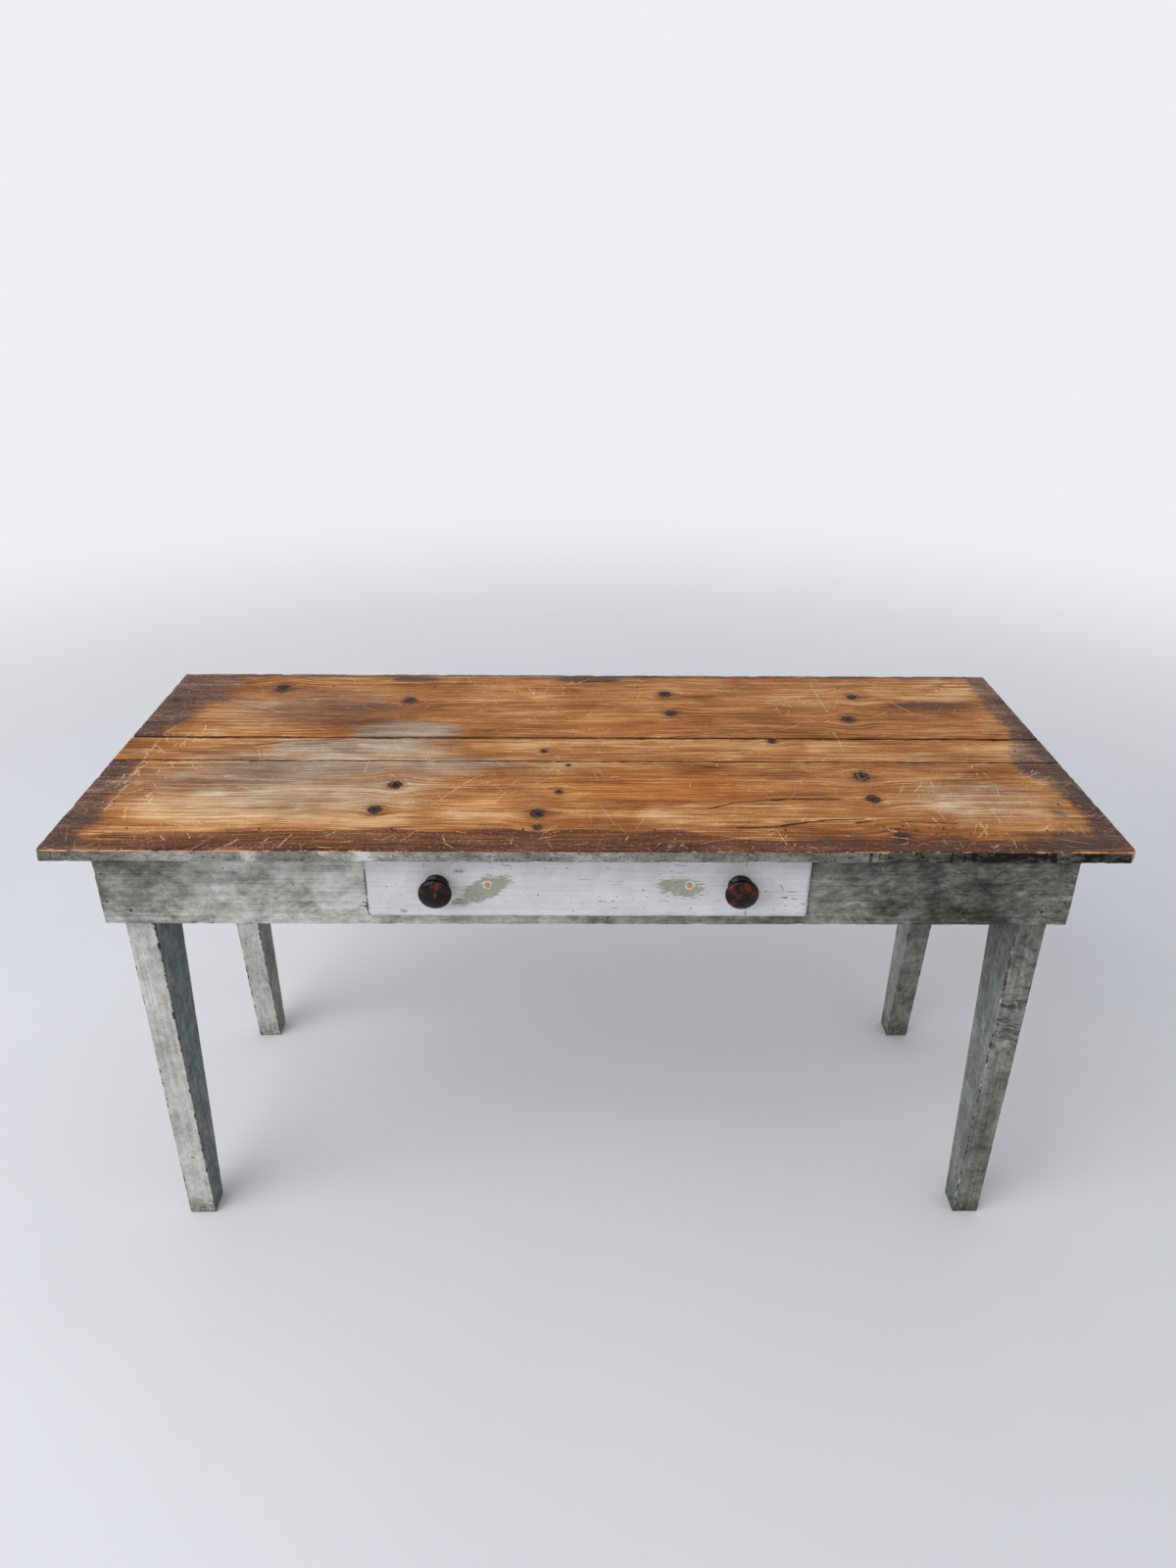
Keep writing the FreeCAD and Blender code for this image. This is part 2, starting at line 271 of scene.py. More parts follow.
# %% Pine grain
wires, given, leave = new_group(
    "pine_grain", {"Place": "Vector"},
    {"Tone": "Float", "Lines": "Float", "Fibres": "Float", "Dashes": "Float"})
bands = wires.noise(given["Place"], (0.9, 16, 16), 4)
rings = wires.maths("SINE", bands * 130)
streaks = wires.noise(given["Place"], (3.2, 120, 120), 4, 0.65)
fibres = wires.noise(given["Place"], (9, 430, 430), 3, 0.7)
tone = 0.5 + bands.swing(0.3) + streaks.swing(0.28) + fibres.swing(1.7)
dashes = wires.noise(given["Place"], (5, 230, 230), 2)
wires.plug(leave, {"Tone": tone - rings.step(0.2, 1.0) * 0.07, "Lines": 0.5 + rings * 0.5,
                   "Fibres": fibres.step(0.25, 0.75), "Dashes": dashes.step(0.62, 0.72)})
print("pine_grain:", len(wires.tree.nodes), "nodes")

# %% Knots, which chain: each passes on the nearest so far and how the grain is pushed
wires, given, leave = new_group(
    "knot", {"Place": "Vector", "Centre": "Vector", "Radius": 0.01, "Nearest": 9.0,
             "Push": "Vector"}, {"Nearest": "Float", "Push": "Vector"})
offset = wires.vector("SUBTRACT", given["Place"], given["Centre"])
offset = wires.vector("MULTIPLY", offset, (1.0, 0.86, 0))
far = wires.maths("DIVIDE", wires.vector("LENGTH", offset, (0, 0, 0), 1), given["Radius"])
pull = wires.maths("EXPONENT", far * far * -0.14)
aside = wires.scaled(wires.vector("MULTIPLY", offset, (0, -0.9, 0)), pull)
wires.plug(leave, {"Nearest": wires.maths("MINIMUM", far, given["Nearest"]),
                   "Push": wires.vector("ADD", given["Push"], aside)})
print("knot:", len(wires.tree.nodes), "nodes")

# %% Grime clouds and flaking
wires, given, leave = new_group("mottle", {"Place": "Vector", "Scale": 12.0},
                                {"Cloud": "Float", "Speck": "Float"})
scaled = wires.scaled(given["Place"], given["Scale"])
wires.plug(leave, {"Cloud": wires.noise(scaled, 1, 5, 0.6).step(0.28, 0.72),
                   "Speck": wires.noise(scaled, 9, 3, 0.6).step(0.3, 0.7)})

wires, given, leave = new_group("flaking", {"Wear": 0.0, "Place": "Vector", "Ragged": 0.8},
                                {"Bare": "Float"})
ragged = wires.noise(given["Place"], 1, 5, 0.65).swing(given["Ragged"])
wires.plug(leave, {"Bare": (given["Wear"] + ragged).step(0.47, 0.53)})
print("mottle and flaking ready")

# %% Fine scratches, in four directions, and one long mark
wires, given, leave = new_group("fine_scratches", {"Place": "Vector", "Scale": 1.0},
                                {"Mask": "Float"})
hairlines = []
for angle, density in ((0.3, 1.0), (1.25, 0.8), (-0.7, 0.9), (2.0, 0.7)):
    turned = wires.scaled(wires.turned(given["Place"], (0, 0, angle)), given["Scale"])
    line = wires.noise(turned, (15, 420 * density, 15), 1).step(0.7, 0.77)
    hairlines.append(line * wires.noise(turned, 8, 2).step(0.46, 0.6))
first, second, third, fourth = hairlines
wires.plug(leave, {"Mask": first | second | third | fourth})

# The mesh's marks give how far a point lies off a long mark, such as a crack, and how wide it is.
wires, given, leave = new_group("long_mark", {"Off": 9.0, "Wide": 0.0}, {"Mask": "Float"})
beside = wires.maths("DIVIDE", wires.maths("ABSOLUTE", given["Off"]), given["Wide"] | 0.01)
wires.plug(leave, {"Mask": beside.step(1.0, 0.45)})
print("fine_scratches and long_mark ready")

# %% [markdown]
# ## The top: old pine
# The top is the face of this table. Its pine is amber, with long grain and dark knots. A brown
# finish is left along the ends and the front, hands and dishes wore the middle pale, and
# something wet left a grey bloom. A painted texture could show all that, but this script uses
# none: knots and long marks are placed one by one, in millimetres from the middle of the top,
# and soft areas are numbers on the mesh points, which noise breaks up into ragged patches.

# %% Where the knots and cracks lie: a knot is its place and radius, a crack its width and corners
KNOTS = ((-545, 248, 15), (-310, 195, 12), (140, 226, 12), (145, 143, 12), (472, 217, 10),
         (444, 120, 12), (-718, 194, 12), (-69, -9, 6), (300, 31, 8), (-288, -126, 12),
         (-306, -203, 11), (-43, -147, 6), (-73, -213, 12), (-72, -253, 7), (418, -94, 14),
         (418, -167, 11), (432, -277, 13), (-30, -58, 4))
CRACKS = ((1.5, (-600, 0), (-540, 6), (-480, 26), (-395, 34)), (1.2, (-470, 14), (-420, 17)),
          (1.9, (175, -197), (220, -177), (280, -168), (365, -168)),
          (2.4, (210, -252), (260, -250), (284, -242), (340, -230), (390, -227)),
          (3.4, (268, -248), (292, -241)), (3.0, (268, -172), (292, -168)),
          (2.2, (376, -238), (398, -233)), (1.6, (440, -232), (520, -240)),
          (1.1, (120, 43), (220, 60), (280, 78), (305, 78), (335, 63)),
          (1.8, (178, -62), (208, -66)),
          (0.7, (-640, 194), (-500, 120), (-430, 100)), (0.7, (-70, -118), (20, -112)))
print(len(KNOTS), "knots,", len(CRACKS), "cracks")

# %% Where the scratches lie: the larger ones listed one by one, and stray ones all over
SCRATCHES = (
    (3.6, (419, -258), (427, -263)), (1.2, (-105, 258), (-90, 208), (-94, 250)),
    (0.9, (-70, 262), (-76, 222)), (1.2, (-215, -172), (-180, -112), (-160, -92)),
    (0.9, (-340, -42), (-342, -82)), (1.2, (410, 278), (414, 153)),
    (1.1, (-620, 178), (-565, 168), (-520, 140)), (1.4, (500, -182), (505, -227)),
    (1.4, (-692, 30), (-690, -120)), (1.0, (-684, -130), (-690, -190)),
    (0.8, (500, -100), (560, -96)), (1.5, (580, -190), (584, -240)),
    (0.8, (590, -60), (660, -30)), (0.8, (-160, 60), (-120, 92)),
    (0.9, (-150, -40), (-130, -60)), (1.3, (-296, 203), (-280, 190)),
    (1.0, (-590, 262), (-572, 222)), (0.8, (-480, 250), (-455, 238)),
    (0.9, (560, 248), (566, 200)), (1.1, (-255, -292), (-240, -262)),
    (1.3, (262, -262), (268, -296)), (1.5, (498, -46), (508, -36)),
    (1.5, (-585, -246), (-562, -252)),
    (0.8, (330, 170), (332, 140)), (0.8, (88, 196), (96, 236)), (0.8, (-130, 264), (-128, 230)),
    (0.7, (230, 262), (262, 250)), (0.9, (262, 250), (290, 262)), (0.7, (-420, 236), (-380, 262)),
    (0.8, (40, 236), (-20, 244)), (0.8, (640, 268), (650, 230)), (0.7, (-250, -150), (-215, -190)),
    (0.8, (-430, -190), (-400, -150)), (0.7, (60, -60), (110, -40)), (0.8, (330, -60), (352, -100)),
    (0.7, (380, -20), (460, -12)), (0.7, (-520, -130), (-470, -160)))


def stray_scratches(count, seed, across, along, angles, widths):
    """Short random scratches, as long use leaves them: a width, then three places along a bend."""
    draw = np.random.default_rng(seed)
    lines = []
    for _ in range(count):
        middle = np.array((draw.uniform(*across), draw.uniform(*along)))
        length, angle, bend = 4 + draw.gamma(1.3, 10.0), draw.normal(*angles), draw.normal(0, 0.12)
        half = 0.5 * length * np.array((math.cos(angle), math.sin(angle)))
        side = np.array((-half[1], half[0])) * bend
        corners = tuple(middle - half), tuple(middle + side), tuple(middle + half)
        lines.append((draw.uniform(*widths), *corners))
    return tuple(lines)


# How many, the seed, from where to where, then the middle and spread of the angle, and the widths.
for stray in ((170, 77, (-715, 715), (-300, 300), (1.0, 0.9), (0.35, 1.3)),
              (42, 78, (-706, -632), (-235, 75), (1.5, 0.3), (0.7, 2.4)),
              (34, 79, (470, 690), (-270, -40), (1.2, 0.6), (0.6, 2.0)),
              (26, 81, (320, 640), (130, 300), (1.4, 0.8), (0.5, 1.4)),
              (22, 82, (-260, 20), (190, 290), (1.4, 0.8), (0.5, 1.4)),
              (34, 80, (-640, 640), (-308, -262), (0.7, 0.8), (0.6, 1.8))):
    SCRATCHES += stray_scratches(*stray)
SCRATCH_LAYERS, CRACK_LAYERS = 4, 2
print(len(SCRATCHES), "scratches")

# %% The worn pine of the top: its grain, which sways and bends round the knots
wood = new_material("worn_pine_top")
place = wood.place()
board = wood.mark("board")
shift = wood.node("ShaderNodeCombineXYZ", {"X": board * 1.7, "Y": board * 0.31})
sway = wood.node("ShaderNodeCombineXYZ", {"Y": wood.noise(place, (2.6, 5, 5), 2).swing(0.024)})
knot = {"Nearest": 9.0, "Push": (0, 0, 0)}
for x, y, size in KNOTS:
    knot = wood.use("knot", Place=place, Centre=(x * MM, y * MM, 0), Radius=size * MM, **knot)
bent = place
for push in (shift, sway, knot["Push"]):
    bent = wood.vector("ADD", bent, push)
grain = wood.use("pine_grain", Place=bent)
cloud = wood.use("mottle", Place=place, Scale=20.0)
broad = wood.use("mottle", Place=place, Scale=5.0)
grit = wood.noise(place, 420, 2, 0.7)
streaky = wood.noise(bent, (5, 75, 75), 4, 0.65)
blotch = wood.noise(bent, (9, 24, 24), 5, 0.65)
drift = streaky.swing(1.3) + cloud["Cloud"].swing(0.3)
print("grain wired")


# %% Wear, glow and bloom
def worn(label):
    """A mark on the mesh, frayed along the grain."""
    mark = wood.mark(label)
    return (mark + drift * (mark + 0.1)).step(0.1, 0.9)


scuffs = wood.noise(bent, (34, 150, 150), 4, 0.7).step(0.6, 0.72)
scuffed = wood.mark("scuff")
tone = grain["Tone"] + broad["Cloud"].swing(0.2) + blotch.swing(0.75) + grit.swing(0.5)
tone = tone + scuffs * (0.3 + scuffed * 0.4) + worn("pale") * 0.24 - worn("shade") * 0.16
colour = tone.ramp((0.05, (78, 44, 24)), (0.34, (138, 81, 37)), (0.54, (169, 110, 56)),
                   (0.74, (198, 152, 101)), (1.0, (228, 196, 156)))
amber = tone.ramp((0.1, (100, 52, 18)), (0.4, (162, 92, 33)), (0.6, (187, 118, 55)),
                  (0.95, (220, 168, 108)))
grey = tone.ramp((0.1, (96, 88, 78)), (0.4, (140, 130, 116)), (0.6, (166, 156, 142)),
                 (1.0, (200, 190, 174)))
colour = colour.coat(amber, worn("glow") * 0.75)
colour = colour.coat(grey, worn("bloom") * 0.72)
print("wear, glow and bloom wired")

# %% What is left of the dark finish, and stains
ragged = cloud["Cloud"].swing(0.5) + streaky.swing(1.1) + grain["Tone"].swing(0.3)
gritty = 0.36 + grain["Tone"].swing(0.8) + grit.swing(0.5) + blotch.swing(1.3)
gritty = gritty + cloud["Cloud"].swing(0.25)
finish_left = (wood.mark("finish") + ragged).step(0.32, 0.78)
dull = gritty.ramp((0.1, (40, 26, 22)), (0.36, (80, 55, 47)), (0.6, (116, 87, 74)),
                   (0.9, (196, 164, 136)))
colour = colour.coat(dull, finish_left * 0.92)

frayed = streaky.swing(1.3) + blotch.swing(0.5)
red_band = (wood.mark("band") + frayed).step(0.36, 0.56)
red_band = wood.maths("MULTIPLY", red_band, 0.84 + blotch.swing(1.2), clamp=True)
reddish = gritty.ramp((0.1, (46, 22, 16)), (0.4, (88, 46, 32)), (0.62, (114, 70, 50)),
                      (0.95, (192, 144, 108)))
colour = colour.coat(reddish, red_band)

flecks = wood.maths("ADD", scuffs * 0.75, cloud["Speck"].step(0.75, 1.0), clamp=True)
flecks = flecks * ((finish_left | red_band) * 0.42) | scuffs * scuffed * 0.8
colour = colour.coat(shade(186, 150, 118), flecks)
stain = (wood.mark("stain") + ragged).step(0.3, 0.95)
colour = colour.coat(shade(62, 48, 44), stain * 0.8)
colour = colour.coat(shade(66, 38, 22), grain["Dashes"] * 0.7)
specks = wood.noise(place, (210, 420, 210), 2, 0.7).step(0.64, 0.71)
colour = colour.coat(shade(52, 32, 22), specks * 0.6)
print("finish and stains wired")

# %% Knots: a halo, rings and a black heart
knot_edge = knot["Nearest"] + cloud["Speck"].swing(0.3)
colour = colour.coat(shade(84, 50, 34), knot_edge.step(2.1, 0.9) * 0.45)
rings = wood.maths("SINE", knot_edge * 17.0)
core = (0.5 + rings * 0.4).ramp((0.0, (30, 20, 20)), (1.0, (82, 54, 46)))
colour = colour.coat(core, knot_edge.step(1.02, 0.86))
colour = colour.coat(shade(20, 14, 14), knot_edge.step(0.36, 0.16))
print("knots wired")

# %% Cracks, scratches and worm holes of the top
waver = wood.noise(place, 60, 2).swing(5.0)


def long_marks(kind, layers):
    """The marks of one kind, which lie on the mesh in a few layers so that none meet."""
    mask = 0.0
    for layer in range(layers):
        off = wood.mark(f"{kind}_{layer}_off") + waver
        mask = wood.use("long_mark", Off=off, Wide=wood.mark(f"{kind}_{layer}_wide"))["Mask"] | mask
    return mask


scratch = long_marks("scratch", SCRATCH_LAYERS) * grit.step(0.4, 0.6)
flat_place = wood.vector("MULTIPLY", place, (1, 1, 0))
worms = wood.node("ShaderNodeTexVoronoi", {"Vector": flat_place, "Scale": 96.0})
worms = worms.step(0.2, 0.13) * wood.mark("worm").step(0.45, 0.55)
crack = long_marks("crack", CRACK_LAYERS) | worms
hairs = wood.use("fine_scratches", Place=place, Scale=1.0)["Mask"] * broad["Cloud"].step(0.1, 0.8)
colour = colour.coat(shade(216, 178, 136), hairs * 0.65)
colour = colour.coat(shade(226, 190, 146), scratch * 0.85)
DARK_GAP = shade(34, 22, 18)
colour = colour.coat(DARK_GAP, crack)
print("cracks, scratches and worm holes wired")

# %% The painted edge, the bare arris, the underside and the seams of the top
dark_rim = wood.mark("dark_rim")
splits = wood.noise(place, (110, 8, 16), 3).step(0.56, 0.64)
chips = wood.noise(place, (24, 60, 90), 5, 0.75).swing(2.2)
rim_tone = dark_rim + cloud["Cloud"].swing(0.3) + grit.swing(0.5) + splits * dark_rim.step(0.5, 0.9)
rim_tone = rim_tone + cloud["Speck"].step(0.72, 0.95) * 0.2
rim_tone = wood.maths("ADD", rim_tone, chips * dark_rim, clamp=True)
rim_paint = rim_tone.ramp((0.0, (196, 196, 192)), (0.3, (136, 135, 128)), (0.6, (86, 87, 80)),
                          (1.0, (18, 19, 16)))
colour = colour.coat(rim_paint, wood.mark("rim").step(0.3, 0.6))
bare_arris = wood.mark("front_arris") + wood.noise(place, (34, 60, 60), 5, 0.7).swing(1.8)
bare_wood = grain["Fibres"].blend(shade(172, 110, 66), shade(216, 160, 112))
colour = colour.coat(bare_wood, bare_arris.step(0.5, 0.62))
under = grain["Tone"].ramp((0.2, (104, 76, 52)), (0.8, (160, 124, 88)))
colour = colour.coat(under, wood.mark("under").step(0.4, 0.6))
colour = colour.coat(DARK_GAP, wood.mark("seam") * 0.85)

rough = 0.5 + grain["Fibres"] * 0.16 - finish_left * 0.12
height = grain["Fibres"] * 0.3 + grain["Lines"] * 0.12 - crack * 2.0
height = height - grain["Dashes"] * 0.4 + grit * 0.25
top_wood = finish(wood, colour, rough, height, **gloss(0.1))
print("worn_pine_top:", len(wood.tree.nodes), "nodes")

# %% [markdown]
# ## Blocks with worn arrises
# Every wooden piece starts as a planed block. A cube with a bevel would do for a new table.
# Here each face is a grid, so that slow hollows can be pressed into it and small losses
# bitten out of its arrises, the long corners between two faces. A grid point near an arris
# is pulled onto a quarter circle, which rounds it, and remembers how near the arris it is.

# %% Soft steps, smooth noise and nearness to an arris
NOISE_CELLS, NOISE_START = 32, 50


def ramp(value, low, high):
    """0 below low and 1 above high, with a soft ramp between."""
    part = np.clip((value - low) / (high - low), 0, 1)
    return part * part * (3 - 2 * part)


def hill(value, middle, width):
    """1 in the middle, falling softly to both sides."""
    return np.exp(-((value - middle) / width) ** 2)


def lattice_noise(points, size, seed):
    """Smooth random numbers from -1 to 1 in space, with lumps of the given size."""
    table = np.random.default_rng(seed).uniform(-1, 1, (NOISE_CELLS,) * 3)
    spot = points / np.array(size) + NOISE_START
    cell = np.floor(spot).astype(int)
    part = spot - cell
    part = part * part * (3 - 2 * part)
    total = np.zeros(len(points))
    for corner in np.ndindex(2, 2, 2):
        weight = np.prod(np.where(corner, part, 1 - part), axis=1)
        total += weight * table[tuple(((cell + corner) % NOISE_CELLS).T)]
    return total


def arris_mark(points, low, high, reach=10 * MM):
    """How near each point is to an arris of its block."""
    depths = np.sort(np.minimum(points - np.array(low), np.array(high) - points), axis=1)
    return 1 - ramp(depths[:, 1], 0, reach)


print("noise at one point:", lattice_noise(np.zeros((1, 3)), 9 * MM, 5))


# %% A block with rounded arrises
BEND_ANGLES, NEAR_GAPS = (15, 30, 45), (1.5 * MM, 4 * MM, 8 * MM)
CLOSEST, SAME = 0.2 * MM, 0.01 * MM


def grid_lines(low, high, radius, step):
    """Places along one side of a block: close in the rounded ends, even between."""
    bend = radius * np.tan(np.radians(BEND_ANGLES))
    count = max(1, round((high - low - 2 * radius) / step))
    middle = np.linspace(low + radius, high - radius, count + 1)
    near = np.array([gap for gap in NEAR_GAPS if gap < (high - low) / 2 - radius])
    parts = (low + radius - bend, middle, high - radius + bend,
             low + radius + near, high - radius - near)
    places = np.unique(np.round(np.concatenate(parts), 6))
    keep = np.append(True, np.diff(places) > CLOSEST)
    keep[-1] = True
    return places[keep]


def block(low, high, radius, steps):
    """A block with rounded arrises: its points, faces, outward directions and edge marks."""
    low, high = np.array(low), np.array(high)
    lines = [grid_lines(low[axis], high[axis], radius, steps[axis]) for axis in range(3)]
    sheets, quads, start = [], [], 0
    for axis in range(3):
        across, upright = (axis + 1) % 3, (axis + 2) % 3
        for side in (low, high):
            grid = np.meshgrid(lines[across], lines[upright], indexing="ij")
            sheet = np.empty((grid[0].size, 3))
            sheet[:, axis] = side[axis]
            sheet[:, across], sheet[:, upright] = grid[0].ravel(), grid[1].ravel()
            index = start + np.arange(grid[0].size).reshape(grid[0].shape)
            ring = [index[:-1, :-1], index[1:, :-1], index[1:, 1:], index[:-1, 1:]]
            if side is low:
                ring.reverse()
            quads.append(np.stack([corner.ravel() for corner in ring], 1))
            sheets.append(sheet)
            start += grid[0].size
    points, faces = np.concatenate(sheets), np.concatenate(quads)
    _, first, same = np.unique(np.round(points / SAME).astype(np.int64), axis=0,
                               return_index=True, return_inverse=True)
    points, faces = points[first], same.ravel()[faces]
    inner = np.clip(points, low + radius, high - radius)
    out = points - inner
    out /= np.linalg.norm(out, axis=1, keepdims=True)
    return SimpleNamespace(points=inner + out * radius, faces=faces.tolist(), out=out,
                           edge=arris_mark(points, low, high))


def weather(shape, seed, lump, wave, chip):
    """Slow hollows over the faces and small losses along the arrises, always inwards.

    The hollows have the size of a lump and the depth of a wave; a loss has that of a chip."""
    hollow = wave * (0.5 + 0.5 * lattice_noise(shape.points, lump, seed))
    bite = np.clip(lattice_noise(shape.points, 9 * MM, seed + 1) - 0.1, 0, 1)
    bite += 1.5 * np.clip(lattice_noise(shape.points, 40 * MM, seed + 2) - 0.45, 0, 1)
    shape.points = shape.points - shape.out * (hollow + chip * bite * shape.edge ** 2)[:, None]


test_block = block((0, 0, 0), (0.1, 0.05, 0.02), radius=2 * MM, steps=(0.01, 0.01, 0.01))
print("a test block has", len(test_block.points), "points")


# %% Pieces, their marks and their place in the frame
def write_marks(mesh, marks):
    """Numbers that a mesh carries at its points, by name, for a material to read."""
    for label, values in marks.items():
        layer = mesh.attributes.new(label, "FLOAT", "POINT")
        layer.data.foreach_set("value", np.asarray(values, dtype=np.float32))


def read_points(mesh):
    points = np.empty(3 * len(mesh.vertices))
    mesh.vertices.foreach_get("co", points)
    return points.reshape(-1, 3)


def make_piece(name, points, faces, marks=None):
    """A mesh object at the origin, smooth, carrying its marks."""
    mesh = bpy.data.meshes.new(name)
    mesh.from_pydata(points.tolist(), [], faces)
    write_marks(mesh, marks or {})
    mesh.shade_smooth()
    made = bpy.data.objects.new(name, mesh)
    bpy.context.scene.collection.objects.link(made)
    return made


def dress(piece, material, body, slot, *nodes):
    """Gives a finished piece its material and its place in the frame."""
    piece.data.materials.clear()
    piece.data.materials.append(material)
    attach(piece, body)
    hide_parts(*nodes)


print("pieces ready to be made")

# %% [markdown]
# ## The three top boards
# On the real table the boards are about 18 mm thick and lie side by side, with an open seam
# behind the narrow middle one. Each board is one weathered block. The soft areas of its finish
# are ellipses, written as middle, half length, half width and strength, in millimetres.

# %% Soft areas of the finish
AREAS = {
    "scuff": ((-672, -80, 34, 190, 1.0), (-690, 40, 60, 60, 0.9), (668, -200, 40, 110, 0.8),
              (660, 90, 40, 150, 0.6), (-560, -262, 160, 24, 0.6), (-180, -262, 120, 22, 0.6),
              (200, -275, 160, 26, 0.6), (460, -300, 200, 16, 0.7)),
    "bloom": ((-296, 66, 105, 50, 1.0), (-370, 2, 190, 44, 0.9), (-430, -70, 230, 60, 0.72),
              (-230, -58, 150, 46, 0.66), (-60, -58, 90, 30, 0.36), (-450, -110, 300, 150, 0.6),
              (-480, 170, 260, 110, 0.4), (560, -40, 120, 60, 0.3), (570, -170, 150, 90, 0.44)),
    "pale": ((-540, -200, 150, 70, 1.0), (-400, -170, 240, 60, 0.6), (560, -180, 110, 60, 0.55),
             (-160, -212, 70, 50, 0.8), (150, 15, 460, 36, 0.62), (-340, -20, 220, 60, 0.5),
             (120, -220, 130, 40, 0.55), (-600, 120, 100, 120, 0.35), (620, 20, 90, 40, 0.35),
             (-360, -230, 120, 40, 0.6), (300, -215, 160, 40, 0.5), (560, 240, 120, 50, 0.35),
             (-620, -60, 80, 60, 0.45)),
    "glow": ((120, -130, 180, 70, 1.0), (-140, -185, 60, 40, 0.7), (60, 110, 240, 90, 0.5),
             (-60, 230, 200, 60, 0.35), (300, 150, 180, 90, 0.3), (-320, 190, 240, 80, 0.25)),
    "stain": ((596, 180, 100, 26, 0.95), (-312, 294, 60, 18, 1.1), (5, 293, 80, 17, 1.1),
              (635, 273, 32, 20, 0.5), (-590, -50, 26, 9, 0.6), (-545, 250, 40, 26, 0.35),
              (-700, -270, 50, 60, 0.7), (430, -292, 260, 40, 0.62), (660, -285, 110, 46, 0.75),
              (690, -215, 40, 90, 0.45), (712, -298, 22, 12, 1.2), (730, -60, 26, 260, 0.75),
              (410, -262, 70, 22, 0.5)),
    "shade": ((-420, 150, 260, 110, 0.8), (450, 60, 240, 80, 0.4), (200, 250, 300, 60, 0.4),
              (-640, 240, 90, 70, 0.6), (540, -70, 160, 60, 0.5), (-40, -240, 200, 26, 0.6),
              (430, -130, 80, 70, 0.5)),
    "worm": ((430, -245, 60, 26, 1.0), (225, -236, 30, 14, 0.8), (650, -280, 50, 26, 1.0),
             (500, -258, 60, 20, 0.7))}
# The grain that runs on from every other knot is stained too.
AREAS["stain"] += tuple((x + 1.7 * size, y, 2.2 * size, 0.55 * size, 0.6)
                        for x, y, size in KNOTS[::2])
FINISH_LOBES = ((708, -48, 46, 76, 1.3), (722, -170, 30, 80, 0.9), (728, 60, 26, 60, 0.7))


def soft_areas(points, rows):
    """How far each point lies inside the nearest of some soft ellipses."""
    inside = np.zeros(len(points))
    for x, y, half_length, half_width, strength in rows:
        far = np.hypot((points[:, 0] / MM - x) / half_length, (points[:, 1] / MM - y) / half_width)
        inside = np.maximum(inside, strength * (1 - ramp(far, 0.35, 1.25)))
    return inside


print({label: len(rows) for label, rows in AREAS.items()})

# %% Lines as marks on the mesh
LINES_APART, LINE_REACH, LINE_END = 30.0, 14.0, 0.02


def in_layers(lines, layers):
    """Lines shared out so that those close to each other go to different layers."""
    held = [[] for _ in range(layers)]
    for width, *corners in lines:
        corners = np.array(corners, dtype=float)
        crowded = [sum(np.linalg.norm(corners[:, None] - other, axis=2).min() < LINES_APART
                       for _, other in layer) for layer in held]
        held[int(np.argmin(crowded))].append((width, corners))
    return held


def line_marks(points, lines, kind, layers):
    """How far each point lies beside its nearest line, and that line's width, both in millimetres.

    A line's offset grows evenly across it, so it stays sharp between points of a coarse grid."""
    flat = points[:, :2] / MM
    marks = {}
    for number, layer in enumerate(in_layers(lines, layers)):
        nearest = np.full(len(flat), np.inf)
        off, wide = np.full(len(flat), 2 * LINE_REACH), np.zeros(len(flat))
        for width, corners in layer:
            last = len(corners) - 2
            for place, (start, stop) in enumerate(zip(corners, corners[1:])):
                span = stop - start
                length = np.hypot(*span)
                along = (flat - start) @ span / length ** 2
                foot = start + np.clip(along, 0, 1)[:, None] * span
                far = np.hypot(*(flat - foot).T)
                beside = ((flat - start) @ np.array((-span[1], span[0]))) / length
                closer = far < nearest
                begun = along > (-np.inf if place else -LINE_END)
                ended = along >= (1 + LINE_END if place == last else np.inf)
                on = (far < LINE_REACH) & begun & ~ended
                nearest = np.where(closer, far, nearest)
                off = np.where(closer, np.clip(beside, -2 * LINE_REACH, 2 * LINE_REACH), off)
                wide = np.where(closer, width * on, wide)
        marks[f"{kind}_{number}_off"], marks[f"{kind}_{number}_wide"] = off, wide
    return marks


print("layers of cracks:", [len(layer) for layer in in_layers(CRACKS, CRACK_LAYERS)])

# %% The corners and the finish of the top
RIGHT, LEFT = 1, -1
CORNER_LOSSES = (RIGHT, 5.5 * MM), (LEFT, 2.5 * MM)
top_low, top_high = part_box("top_board_front")
end, front, back = top_high[0], top_low[1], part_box("top_board_back")[1][1]
crown, sole = top_high[2], top_low[2]


def break_corners(shape, flat):
    """Bites off the two front corners of the top, and gives back how broken each point is."""
    broken = np.zeros(len(flat))
    for sign, loss in CORNER_LOSSES:
        inside = ((end - sign * flat[:, 0]) + (flat[:, 1] - front)) / math.sqrt(2)
        bite = np.clip(loss + 0.3 * loss * lattice_noise(flat, 9 * MM, 5) - inside, 0, None)
        shape.points[:, 0] -= sign * bite / math.sqrt(2)
        shape.points[:, 1] += bite / math.sqrt(2)
        broken = np.maximum(broken, ramp(bite, 0, 2 * MM)
                            + 0.6 * ramp(2.2 * loss - inside, 0, loss))
    return broken


